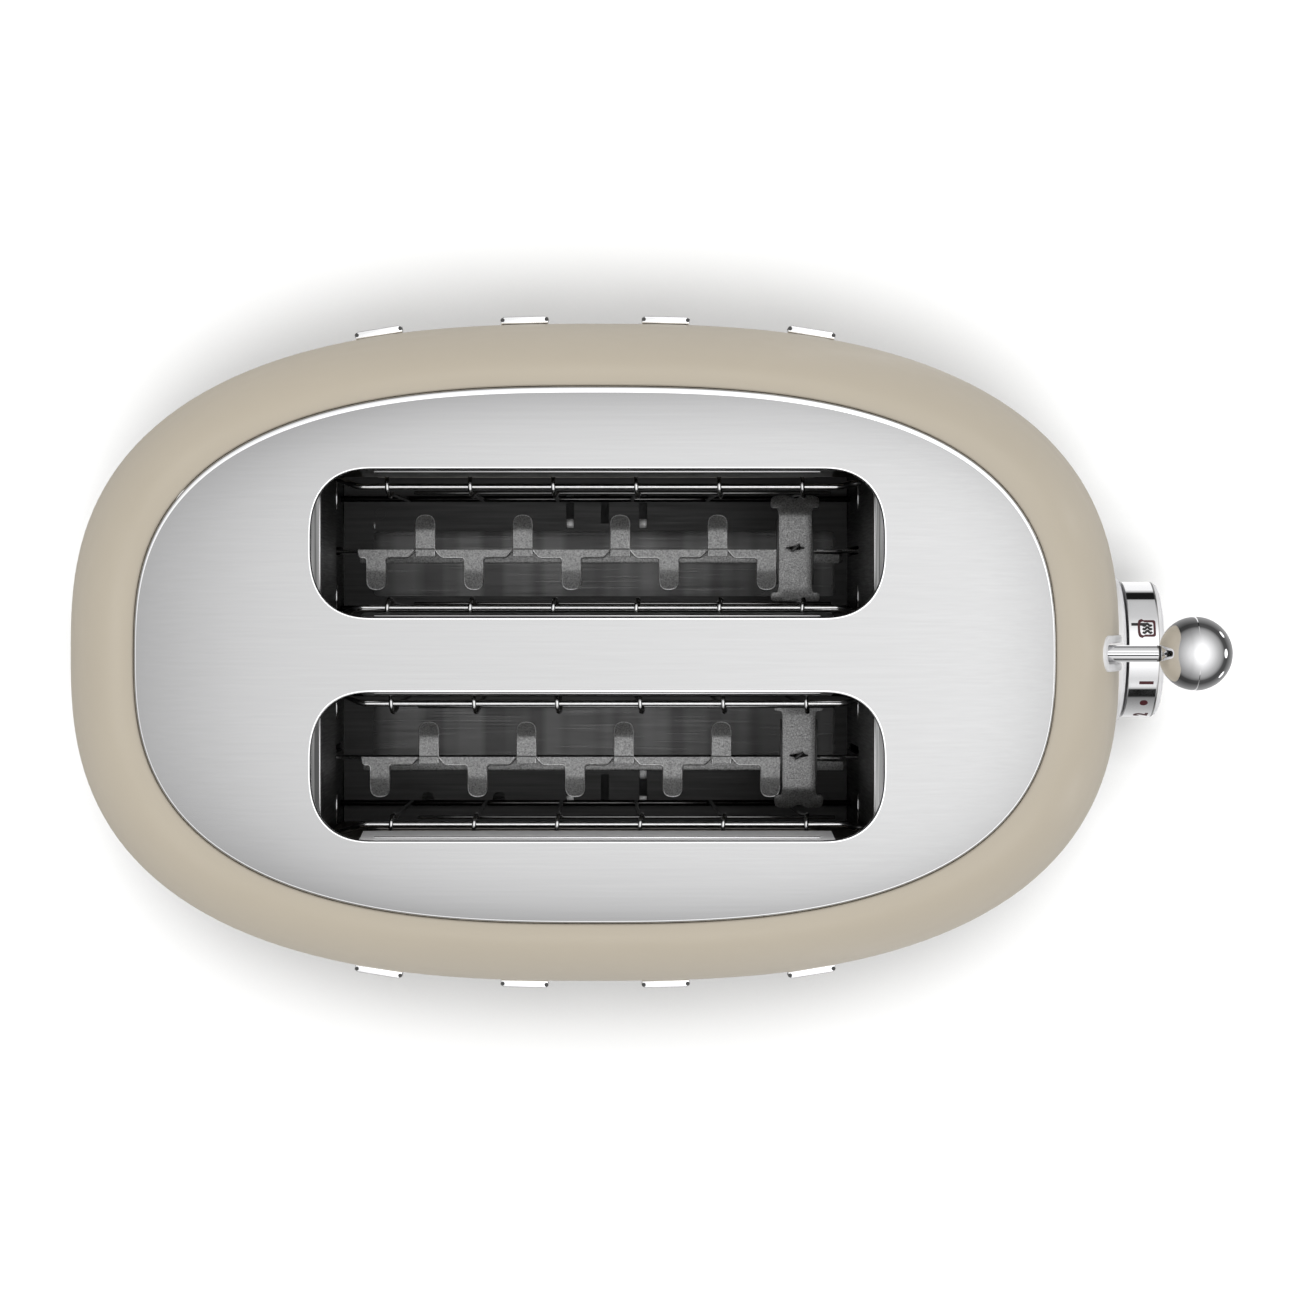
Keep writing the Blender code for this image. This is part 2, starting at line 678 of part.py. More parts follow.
# ---- Carriage ------------------------------------------------------------------------------------------


def finger_places():
    """X of the fingers that point to -Y and of those that point to +Y, half a pitch between them."""
    minus = [FIRST_FINGER + i * FINGER_PITCH for i in range(5)]
    plus = [FIRST_FINGER + (i + 0.5) * FINGER_PITCH for i in range(4)]
    return minus, plus


def finger(x, y_root, y_tip):
    """A finger with a round tip, as an upright prism through the sheet's thickness."""
    radius = FINGER_WIDTH / 2
    direction = math.copysign(1, y_tip - y_root)
    tip_centre = y_tip - direction * radius
    arc = [math.pi * i / 6 for i in range(7)]
    outline = [(x + radius * math.cos(a), tip_centre + direction * radius * math.sin(a)) for a in arc]
    return [*outline, (x - radius, y_root), (x + radius, y_root)]


def rail_outline():
    """The rail's web from the side, as (x, z) points: tongues at both ends, a tab at the front."""
    tongue_low, tongue_high = RAIL_BOTTOM + 0.002, RAIL_BOTTOM + 0.011
    step = END_PLATE_X - 0.0025
    tab_low, tab_high = SPREADER_X - 0.0022, SPREADER_X + 0.0022
    return [
        (-END_PLATE_X - 0.0035, tongue_low),
        (-step, tongue_low),
        (-step + 0.0025, RAIL_BOTTOM),
        (step - 0.0025, RAIL_BOTTOM),
        (step, tongue_low),
        (BRACKET_X + 0.0035, tongue_low),
        (BRACKET_X + 0.0035, tongue_high),
        (step, tongue_high),
        (step - 0.0025, RAIL_TOP - 0.002),
        (tab_high, RAIL_TOP - 0.002),
        (tab_high, RAIL_TOP + 0.0032),
        (tab_low, RAIL_TOP + 0.0032),
        (tab_low, RAIL_TOP - 0.0002),
        (-0.0700, RAIL_TOP - 0.0002),
        (-step, tongue_high),
        (-END_PLATE_X - 0.0035, tongue_high),
    ]


def make_bread_rails():
    """A bent strip under each slot, which the bread stands on, with a tongue through each end plate."""
    minus, plus = finger_places()
    sheet_low = RAIL_TOP - RAIL_SHEET
    for side, name in ((1, "left"), (-1, "right")):
        y = side * SLOT_CENTRE
        web = prism(rail_outline(), "Y", y - RAIL_SHEET / 2, y + RAIL_SHEET / 2)
        rail = add_object(f"bread_rail_{name}", web, "carriage_steel")
        ledge_rear, ledge_front = -0.0700, SPREADER_X - 0.0053
        ledge = block((ledge_rear, y - RAIL_LEDGE, sheet_low), (ledge_front, y + 0.0003, RAIL_TOP))
        join(rail, "ledge", ledge)
        for i, x in enumerate(minus):
            tip = finger(x, y - 0.0002, y - FINGER_REACH_MINUS)
            join(rail, f"finger_minus_{i}", prism(tip, "Z", sheet_low - 0.00005, RAIL_TOP + 0.00005))
        for i, x in enumerate(plus):
            tip = finger(x, y + 0.0001, y + FINGER_REACH_PLUS)
            join(rail, f"finger_plus_{i}", prism(tip, "Z", sheet_low - 0.00005, RAIL_TOP + 0.00005))


def spreader_outline():
    """Half of the spreader's edge mirrored all round, as (x, y) points about its own middle."""
    half, waist, wide = SPREADER_LENGTH / 2, SPREADER_WAIST / 2, SPREADER_END / 2
    notch_half, notch_depth = 0.0021, 0.0017
    quarter = [
        (waist, half - 0.0042),
        (wide - 0.0006, half - 0.0040),
        (wide, half - 0.0030),
        (wide, half - 0.0012),
        (wide - 0.0012, half),
        (notch_half + 0.0004, half),
        (notch_half, half - notch_depth),
    ]
    top = quarter + [(-x, y) for x, y in reversed(quarter)]
    return top + [(-x, -y) for x, y in top]


def make_spreaders():
    """The plate across each rail that keeps the two guards apart; the rail's tab comes up through it."""
    low = RAIL_TOP + GAP
    for side, name in ((1, "left"), (-1, "right")):
        y = side * SLOT_CENTRE
        outline = [(SPREADER_X + u, y + v) for u, v in spreader_outline()]
        plate = prism(outline, "Z", low, low + SPREADER_SHEET)
        spreader = add_object(f"spreader_{name}", plate, "carriage_steel", at=(SPREADER_X, y, low))
        hole_low = (SPREADER_X - 0.0036, y - 0.0009, low - 0.01)
        hole_high = (SPREADER_X + 0.0036, y + 0.0009, low + 0.01)
        cut(spreader, "tab_slot", block(hole_low, hole_high))


def make_carriage_bracket():
    """The plate behind the front end wall that joins both rails, the lever and the latch plate."""
    bottom = RAIL_BOTTOM
    outline = [
        (-BRACKET_HALF, bottom),
        (BRACKET_HALF, bottom),
        (BRACKET_HALF, bottom + 0.016),
        (0.008, bottom + 0.022),
        (0.008, LEVER_Z + 0.005),
        (-0.008, LEVER_Z + 0.005),
        (-0.008, bottom + 0.022),
        (-BRACKET_HALF, bottom + 0.016),
    ]
    upright = prism(outline, "X", BRACKET_X, BRACKET_X + BRACKET_SHEET)
    bracket = add_object("carriage_bracket", upright, "carriage_steel")
    shelf = block(
        (BRACKET_X + 0.0002, -BRACKET_HALF + 0.002, bottom - 0.0004),
        (BRACKET_REACH, BRACKET_HALF - 0.002, bottom + BRACKET_SHEET),
    )
    join(bracket, "shelf", shelf)
    for side, name in ((1, "left"), (-1, "right")):
        rod = circle(GUIDE_ROD_X, side * GUIDE_ROD_Y, GUIDE_ROD_RADIUS + 0.0005)
        cut(bracket, f"rod_hole_{name}", prism(rod, "Z", bottom - 0.01, bottom + 0.01))
        y = side * SLOT_CENTRE
        near, far = BRACKET_X - 0.002, BRACKET_X + BRACKET_SHEET + 0.0003
        slit = block((near, y - 0.0007, bottom + 0.0017), (far, y + 0.0007, bottom + 0.0113))
        cut(bracket, f"tongue_{name}", slit)
    latch = block(
        (MAGNET_X - 0.006, MAGNET_Y - 0.007, bottom - LATCH_DROP),
        (MAGNET_X + 0.006, MAGNET_Y + 0.007, bottom - 0.0007),
    )
    add_object("latch_plate", latch, "carriage_steel")


def make_lever():
    """A round arm from the carriage out through the slot, ending in a thin neck inside the ball."""
    count = 14
    neck_end = BALL_X - 0.004
    ball_back = BALL_X - BALL_RADIUS
    profile = [
        (BRACKET_X + BRACKET_SHEET + GAP, LEVER_RADIUS),
        (ball_back - 0.0014, LEVER_RADIUS),
        (ball_back - 0.0008, LEVER_RADIUS - 0.0006),
        (ball_back - 0.0008, NECK_RADIUS),
        (neck_end, NECK_RADIUS),
    ]
    rings = [[(x, y, z) for y, z in circle(0, LEVER_Z, r, count)] for x, r in profile]
    add_object("lever_arm", loft(rings), "chrome", smooth=40)

    steps = 10
    rings = []
    for i in range(1, steps):
        a = math.pi * i / steps
        x, r = BALL_X - BALL_RADIUS * math.cos(a), BALL_RADIUS * math.sin(a)
        rings.append([(x, y, z) for y, z in circle(0, LEVER_Z, r, 20)])
    cap = BALL_RADIUS * math.sin(math.pi / steps) * 0.05
    rings.insert(0, [(ball_back, y, z) for y, z in circle(0, LEVER_Z, cap, 20)])
    rings.append([(BALL_X + BALL_RADIUS, y, z) for y, z in circle(0, LEVER_Z, cap, 20)])
    ball = add_object("lever_ball", loft(rings), "chrome", at=(BALL_X, 0, LEVER_Z), smooth=40)
    bore = circle(0, LEVER_Z, NECK_RADIUS + GAP, 12)
    cut(ball, "bore", prism(bore, "X", ball_back - 0.01, neck_end + GAP))


def make_lever_slot_rim():
    """A bright frame that lines the lever's slot and follows the shell's curve from top to bottom."""
    rim = LEVER_SLOT_RIM
    outer = racetrack(LEVER_SLOT_WIDTH + 2 * rim, LEVER_SLOT_BOTTOM - rim, LEVER_SLOT_TOP + rim)
    inner = racetrack(LEVER_SLOT_WIDTH, LEVER_SLOT_BOTTOM, LEVER_SLOT_TOP)
    outer, inner = with_side_steps(outer), with_side_steps(inner)

    def on_shell(outline, proud):
        return [(shell_section(z)[0] + proud, y, z) for y, z in outline]

    proud, sunk = 0.0008, -0.0035
    rings = [on_shell(outer, proud), on_shell(inner, proud), on_shell(inner, sunk), on_shell(outer, sunk)]
    add_object("lever_slot_rim", loft(rings, closed=True), "chrome", smooth=40)


def with_side_steps(outline, steps=6):
    """A racetrack with extra points along its two straight sides, so that it can bend with the shell."""
    half = len(outline) // 2
    points = []
    for i, (y, z) in enumerate(outline):
        points.append((y, z))
        if i in (half - 1, len(outline) - 1):
            y_next, z_next = outline[(i + 1) % len(outline)]
            for k in range(1, steps):
                share = k / steps
                points.append((y + (y_next - y) * share, z + (z_next - z) * share))
    return points


def make_guide_rods():
    for side, name in ((1, "left"), (-1, "right")):
        y = side * GUIDE_ROD_Y
        rod = prism(circle(GUIDE_ROD_X, y, GUIDE_ROD_RADIUS, 14), "Z", BASE_FLOOR + GAP, GUIDE_ROD_TOP)
        add_object(f"guide_rod_{name}", rod, "polished_steel", smooth=40)


def make_top_bracket():
    """Holds the tops of the guide rods and of the return spring, screwed to the front end wall."""
    x0 = END_PLATE_X + SHEET + GAP
    shelf = block((x0, -0.034, TOP_BRACKET_Z), (0.1060, 0.034, TOP_BRACKET_Z + TOP_BRACKET_SHEET))
    bracket = add_object("rod_top_bracket", shelf, "chassis_steel")
    join(bracket, "flange", block((x0, -0.030, 0.1500), (x0 + SHEET, 0.030, TOP_BRACKET_Z + 0.0005)))
    for side, name in ((1, "left"), (-1, "right")):
        rod = circle(GUIDE_ROD_X, side * GUIDE_ROD_Y, GUIDE_ROD_RADIUS + GAP)
        cut(bracket, f"rod_hole_{name}", prism(rod, "Z", 0.165, 0.180))


def make_return_spring():
    """The spring that lifts the carriage, from the top bracket down to the carriage's shelf."""
    bottom = RAIL_BOTTOM + BRACKET_SHEET + GAP
    per_turn = 8
    low, high = bottom + SPRING_WIRE, SPRING_TOP - SPRING_WIRE
    path = []
    for i in range(SPRING_TURNS * per_turn + 1):
        angle = 2 * math.pi * i / per_turn
        z = low + (high - low) * i / (SPRING_TURNS * per_turn)
        x = SPRING_X + SPRING_RADIUS * math.cos(angle)
        y = SPRING_Y + SPRING_RADIUS * math.sin(angle)
        path.append((x, y, z))
    add_object("return_spring", tube(path, SPRING_WIRE, 4), "guard_wire", smooth=60)


# ---- Controls ------------------------------------------------------------------------------------------


def make_dial():
    """Collar, dial, its shaft and the push button in its middle, all turned about one axis."""
    at = (DIAL_BACK, 0, DIAL_Z)
    collar = [
        (COLLAR_BACK, COLLAR_RADIUS),
        (DIAL_BACK - 0.0017, COLLAR_RADIUS),
        (DIAL_BACK - 0.0007, COLLAR_RADIUS - 0.001),
        (DIAL_BACK - 0.0007, SHAFT_RADIUS + 0.0008),
        (DIAL_BACK - 0.0027, SHAFT_RADIUS + 0.0008),
        (DIAL_BACK - 0.0027, COLLAR_RADIUS - 0.002),
        (COLLAR_BACK, COLLAR_RADIUS - 0.002),
    ]
    add_object("dial_collar", loft(turned(collar), closed=True), "chrome", smooth=40)

    recess = DIAL_FRONT - BUTTON_RECESS
    dial = [
        (DIAL_BACK, DIAL_RADIUS),
        (DIAL_FRONT - DIAL_CHAMFER, DIAL_RADIUS),
        (DIAL_FRONT, DIAL_RADIUS - DIAL_CHAMFER),
        (DIAL_FRONT, BUTTON_RADIUS + 0.0004),
        (recess, BUTTON_RADIUS + 0.0004),
        (recess, 0.0012),
        (DIAL_BACK + 0.0036, 0.0012),
        (DIAL_BACK + 0.0036, SHAFT_RADIUS + GAP),
        (DIAL_BACK, SHAFT_RADIUS + GAP),
    ]
    add_object("browning_dial", loft(turned(dial), closed=True), "chrome", at=at, smooth=40)

    shaft = [(0.1410, SHAFT_RADIUS), (DIAL_BACK + 0.0032, SHAFT_RADIUS)]
    add_object("dial_shaft", loft(turned(shaft, 16)), "black_plastic", at=at, smooth=40)

    button = [
        (recess + 0.0019, BUTTON_RADIUS),
        (DIAL_FRONT - 0.0009, BUTTON_RADIUS),
        (DIAL_FRONT - 0.0003, BUTTON_RADIUS - 0.0006),
    ]
    add_object("stop_button", loft(turned(button)), "black_plastic", at=at, smooth=40)


def make_electrics():
    """What the dial and the latch work on: board, rotary switch and holding magnet."""
    add_object("control_board", block((0.1260, -0.045, 0.014), (0.1276, 0.045, 0.084)), "circuit_board")
    switch = block((0.1279, -0.008, DIAL_Z - 0.008), (0.1407, 0.008, DIAL_Z + 0.008))
    add_object("rotary_switch", switch, "black_plastic")

    core_top = RAIL_BOTTOM - LATCH_DROP - TRAVEL - 0.0004
    coil_bottom, coil_top = 0.014, core_top - 0.004
    wound = circle(MAGNET_X, MAGNET_Y, 0.0075, 20)
    hole = circle(MAGNET_X, MAGNET_Y, 0.0033, 20)
    coil = [
        flat_ring(wound, coil_bottom),
        flat_ring(wound, coil_top),
        flat_ring(hole, coil_top),
        flat_ring(hole, coil_bottom),
    ]
    add_object("magnet_coil", loft(coil, closed=True), "copper", smooth=40)
    yoke = block(
        (MAGNET_X - 0.0075, MAGNET_Y - 0.0075, BASE_FLOOR + GAP),
        (MAGNET_X + 0.0075, MAGNET_Y + 0.0075, coil_bottom - GAP),
    )
    magnet = add_object("magnet_core", yoke, "chassis_steel")
    join(magnet, "post", prism(circle(MAGNET_X, MAGNET_Y, 0.003, 16), "Z", 0.010, core_top))


def make_crumb_tray():
    """A shallow steel tray under the whole chamber, with a grip that closes the notch in the base."""
    half, wall = TRAY_HALF_WIDTH, TRAY_WALL
    body = block((TRAY_BACK, -half, TRAY_FLOOR), (TRAY_FRONT, half, TRIM_TOP - GAP))
    tray = add_object("crumb_tray", body, "polished_steel")
    pocket_low = (TRAY_BACK + wall, -half + wall, TRAY_FLOOR + wall)
    pocket_high = (TRAY_FRONT - wall, half - wall, 0.03)
    cut(tray, "pocket", block(pocket_low, pocket_high))
    base_x, base_y = shell_section(SHELL_BOTTOM)
    rim = oval(base_x + 0.0005, base_y + 0.0005, count=128)
    grip_edge = [(x, y) for x, y in rim if x < 0 and abs(y) < half - 0.001]
    grip_edge.sort(key=lambda p: p[1])
    grip = [*grip_edge, (TRAY_BACK + 0.0004, half - 0.002), (TRAY_BACK + 0.0004, -half + 0.002)]
    join(tray, "grip", prism(grip, "Z", 0.0084, TRIM_TOP - 2 * GAP))


clear_scene()
FRAME = add_frame()
make_body_shell()
make_top_plate()
make_base()
make_feet_and_screws()
make_cord_gland()
make_side_bars()
make_end_plates()
make_chamber_sheets()
make_heaters()
make_guards()
make_bread_rails()
make_spreaders()
make_carriage_bracket()
make_lever()
make_lever_slot_rim()
make_guide_rods()
make_top_bracket()
make_return_spring()
make_dial()
make_electrics()
make_crumb_tray()
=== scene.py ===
"""Looks of the two-slot pop-up toaster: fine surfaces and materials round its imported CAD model."""

import math

import bmesh
import bpy
from mathutils import Matrix, Vector, geometry


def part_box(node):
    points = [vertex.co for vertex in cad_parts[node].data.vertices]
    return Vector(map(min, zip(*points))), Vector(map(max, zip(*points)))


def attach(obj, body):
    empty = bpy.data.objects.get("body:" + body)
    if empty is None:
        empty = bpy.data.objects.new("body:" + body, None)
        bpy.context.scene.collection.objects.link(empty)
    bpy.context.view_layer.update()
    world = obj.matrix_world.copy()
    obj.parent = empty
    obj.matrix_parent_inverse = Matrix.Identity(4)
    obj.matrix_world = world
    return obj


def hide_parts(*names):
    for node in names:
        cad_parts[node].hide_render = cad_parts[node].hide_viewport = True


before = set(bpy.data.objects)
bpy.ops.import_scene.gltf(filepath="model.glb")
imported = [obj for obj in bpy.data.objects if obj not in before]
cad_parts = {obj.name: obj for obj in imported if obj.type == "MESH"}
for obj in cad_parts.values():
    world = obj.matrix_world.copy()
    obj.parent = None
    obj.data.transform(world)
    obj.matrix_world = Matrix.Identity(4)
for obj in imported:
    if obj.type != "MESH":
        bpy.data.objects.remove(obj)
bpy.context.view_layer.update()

# Driving sizes, in metres. What the frame's boxes give comes from them; the rest repeats the CAD's rules.
SHELL_LOW, SHELL_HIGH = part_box("body_shell")
MIDDLE_X = (SHELL_LOW.x + SHELL_HIGH.x) / 2
BODY_HALF_X = (SHELL_HIGH.x - SHELL_LOW.x) / 2
BODY_HALF_Y = (SHELL_HIGH.y - SHELL_LOW.y) / 2
SHELL_BOTTOM = SHELL_LOW.z
SHELL_WALL = 0.0012
SHOULDER_START = 0.106
SHOULDER_RISE = 0.087
SHOULDER_END = math.radians(88)
SHOULDER_INSET_X = 0.0276
SHOULDER_INSET_Y = 0.0233
BASE_TAPER = 0.0055
SIDE_POWER = 2.62
TOP_POWER = 2.70
TOP_GAP = 0.0008
OVAL_POINTS = 192
RIM_POINTS = 288

TOP_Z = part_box("top_plate")[1].z
TOP_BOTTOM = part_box("top_plate")[0].z
SLOT_HALF_X = 0.0795
SLOT_HALF_Y = 0.0209
SLOT_MIDDLE_X = MIDDLE_X + 0.0007
SLOT_CENTRE = 0.0308
SLOT_CORNER_X = 0.018
SLOT_CORNER_Y = 0.0195
SLOT_POWER = 2.5

FLOOR_LOW, FLOOR_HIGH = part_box("chamber_floor")
END_PLATE_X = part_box("end_plate_front")[0].x - MIDDLE_X
RAIL_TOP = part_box("spreader_left")[0].z - 0.0003
RAIL_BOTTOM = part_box("bread_rail_left")[0].z
SHEET = 0.0008

LEVER_Z = (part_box("lever_ball")[0].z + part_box("lever_ball")[1].z) / 2
BALL_RADIUS = (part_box("lever_ball")[1].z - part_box("lever_ball")[0].z) / 2
BALL_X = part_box("lever_ball")[1].x - BALL_RADIUS
DIAL_LOW, DIAL_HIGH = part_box("browning_dial")
DIAL_Z = (DIAL_LOW.z + DIAL_HIGH.z) / 2
DIAL_RADIUS = (DIAL_HIGH.z - DIAL_LOW.z) / 2
COLLAR_LOW, COLLAR_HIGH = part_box("dial_collar")


# ---- Meshes --------------------------------------------------------------------------------------------


def add_object(name, points, faces, smooth=35):
    mesh = bpy.data.meshes.new(name)
    mesh.from_pydata([Vector(p) for p in points], [], faces)
    mesh.validate()
    editable = bmesh.new()
    editable.from_mesh(mesh)
    bmesh.ops.recalc_face_normals(editable, faces=editable.faces)
    editable.to_mesh(mesh)
    editable.free()
    if smooth:
        mesh.shade_smooth()
        mesh.set_sharp_from_angle(angle=math.radians(smooth))
    obj = bpy.data.objects.new(name, mesh)
    bpy.context.scene.collection.objects.link(obj)
    return obj


def merge(*meshes):
    points, faces = [], []
    for more_points, more_faces in meshes:
        start = len(points)
        points += list(more_points)
        faces += [[start + i for i in face] for face in more_faces]
    return points, faces


def mirrored_y(mesh):
    points, faces = mesh
    return [Vector((p[0], -p[1], p[2])) for p in points], [face[::-1] for face in faces]


def loft(rings, closed=False, caps=True):
    """Skins rings of equal counts. A ring of equal points closes to a tip by itself when merged."""
    count = len(rings[0])
    points = [Vector(p) for ring in rings for p in ring]
    pairs = [(i, i + 1) for i in range(len(rings) - 1)]
    if closed:
        pairs.append((len(rings) - 1, 0))
    faces = []
    for low, high in pairs:
        for i in range(count):
            j = (i + 1) % count
            faces.append([low * count + i, low * count + j, high * count + j, high * count + i])
    if caps and not closed:
        faces.append(list(range(count))[::-1])
        faces.append([(len(rings) - 1) * count + i for i in range(count)])
    return points, faces


def prism(outline, axis, low, high):
    place = {
        "X": lambda u, v, w: (w, u, v),
        "Y": lambda u, v, w: (u, w, v),
        "Z": lambda u, v, w: (u, v, w),
    }[axis]
    return loft([[place(u, v, w) for u, v in outline] for w in (low, high)])


def block(low, high):
    x0, y0, z0 = low
    x1, y1, z1 = high
    return prism([(x0, y0), (x1, y0), (x1, y1), (x0, y1)], "Z", z0, z1)


def circle(u, v, radius, count=32):
    steps = [2 * math.pi * i / count for i in range(count)]
    return [(u + radius * math.cos(a), v + radius * math.sin(a)) for a in steps]


def fillet(outline, radius, steps=4, closed=True):
    """Rounds the corners of an outline or a path, each by its own radius where radius is a list."""
    path = [Vector(p) for p in outline]
    count = len(path)
    points = []
    for i, corner in enumerate(path):
        r = radius[i] if isinstance(radius, (list, tuple)) else radius
        if (not closed and i in (0, count - 1)) or r <= 0:
            points.append(corner)
            continue
        before = path[i - 1] - corner
        after = path[(i + 1) % count] - corner
        reach = min(r, before.length * 0.49, after.length * 0.49)
        start = corner + before.normalized() * reach
        end = corner + after.normalized() * reach
        for k in range(steps + 1):
            t = k / steps
            points.append(start * (1 - t) ** 2 + corner * 2 * t * (1 - t) + end * t * t)
    return points


def turned(profile, z, count=96):
    """A profile of (x, radius) turned about the X axis at a height; a radius of 0 makes a tip."""
    points, faces, rings = [], [], []
    for x, radius in profile:
        start = len(points)
        if radius < 1e-7:
            points.append((x, 0.0, z))
            rings.append([start])
            continue
        points += [(x, y, w) for y, w in circle(0.0, z, radius, count)]
        rings.append([start + i for i in range(count)])
    for one, two in zip(rings, rings[1:]):
        faces += strip(one, two, count)
    return points, faces


def strip(one, two, count):
    """Faces between two rings of point numbers, either of which may be a single tip."""
    faces = []
    for i in range(count):
        j = (i + 1) % count
        if len(one) == 1:
            faces.append([one[0], two[j], two[i]])
        elif len(two) == 1:
            faces.append([one[i], one[j], two[0]])
        else:
            faces.append([one[i], one[j], two[j], two[i]])
    return faces


def upright_turned(profile, x, y, count=48):
    """A profile of (radius, z) turned about a vertical axis."""
    points, faces = turned([(z, radius) for radius, z in profile], 0.0, count)
    return [(x + p[1], y + p[2], p[0]) for p in map(Vector, points)], faces


def tube(path, radius, sides=12):
    """A wire of constant radius along a path, with slightly rounded ends."""
    path = [Vector(p) for p in path]
    across = (path[1] - path[0]).orthogonal()
    rings = []
    for i, point in enumerate(path):
        before = point - path[i - 1] if i else path[1] - path[0]
        after = path[i + 1] - point if i + 1 < len(path) else before
        along = (before.normalized() + after.normalized()).normalized()
        across = (across - along * across.dot(along)).normalized()
        upward = along.cross(across)
        reaches = [(0.0, 1.0)]
        if i == 0:
            reaches = [(-0.30, 0.72), (0.0, 1.0)]
        elif i + 1 == len(path):
            reaches = [(0.0, 1.0), (0.30, 0.72)]
        for shift, share in reaches:
            ring = []
            for k in range(sides):
                angle = 2 * math.pi * k / sides
                spoke = across * math.cos(angle) + upward * math.sin(angle)
                ring.append(point + along * radius * shift + spoke * radius * share)
            rings.append(ring)
    return loft(rings)


def sheet_fill(outline, holes=(), inner=()):
    """Triangles inside an outline and outside its holes; all are lists of (x, y). Returns 2-D points."""
    points, edges = [], []
    for loop in [outline, *holes]:
        start = len(points)
        points += [Vector((p[0], p[1])) for p in loop]
        edges += [(start + i, start + (i + 1) % len(loop)) for i in range(len(loop))]
    points += [Vector(p) for p in inner]
    made = geometry.delaunay_2d_cdt(points, edges, [], 1, 1e-7)
    flat, triangles = made[0], made[2]
    kept = []
    for face in triangles:
        middle = sum((flat[i] for i in face), Vector((0, 0))) / len(face)
        if any(inside(middle, hole) for hole in holes):
            continue
        kept.append(list(face))
    return flat, kept


def inside(point, loop):
    crossings = False
    for i in range(len(loop)):
        x0, y0 = loop[i - 1][0], loop[i - 1][1]
        x1, y1 = loop[i][0], loop[i][1]
        if (y0 > point.y) != (y1 > point.y) and point.x < (x1 - x0) * (point.y - y0) / (y1 - y0) + x0:
            crossings = not crossings
    return crossings


def add_modifier(obj, kind, **settings):
    modifier = obj.modifiers.new(kind.lower(), kind)
    for key, value in settings.items():
        setattr(modifier, key, value)
    return modifier


def settle(obj):
    """Puts the result of an object's modifiers into its mesh."""
    evaluated = obj.evaluated_get(bpy.context.evaluated_depsgraph_get())
    mesh = bpy.data.meshes.new_from_object(evaluated)
    obj.modifiers.clear()
    obj.data = mesh
    return obj


def cut(obj, *cutters):
    """Cuts (points, faces) shapes out of an object for good."""
    for cutter in cutters:
        tool = add_object("cutter", *cutter, smooth=0)
        add_modifier(obj, "BOOLEAN", operation="DIFFERENCE", object=tool, solver="EXACT")
        settle(obj)
        bpy.data.objects.remove(tool)
    return obj


def bevelled(obj, width, segments=2, angle=30):
    add_modifier(
        obj, "BEVEL", width=width, segments=segments, limit_method="ANGLE", angle_limit=math.radians(angle)
    )
    return settle(obj)


def show(obj, body, material, slot, *replaced, smooth=None):
    """Gives a piece its material and its body, and hides the CAD nodes that it stands for; its slot
    argument is not used.
    """
    obj.data.materials.clear()
    obj.data.materials.append(material)
    if smooth:
        obj.data.shade_smooth()
        obj.data.set_sharp_from_angle(angle=math.radians(smooth))
    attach(obj, body)
    if replaced:
        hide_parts(*replaced)
    return obj


def show_all(name, parts, body, material, slot, smooth=40):
    """Shows several (points, faces) shapes as one piece."""
    return show(add_object(name, *merge(*parts)), body, material, slot, smooth=smooth)


def middle_of(node):
    """The middle of a CAD node's box."""
    low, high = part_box(node)
    return (low + high) / 2


# ---- Materials -----------------------------------------------------------------------------------------


def map_range(tree, value, low, high, start, end):
    """A value that runs from low to high while another runs from start to end."""
    made = tree.nodes.new("ShaderNodeMapRange")
    for socket, number in zip(("From Min", "From Max", "To Min", "To Max"), (start, end, low, high)):
        made.inputs[socket].default_value = number
    tree.links.new(value, made.inputs["Value"])
    return made.outputs["Result"]


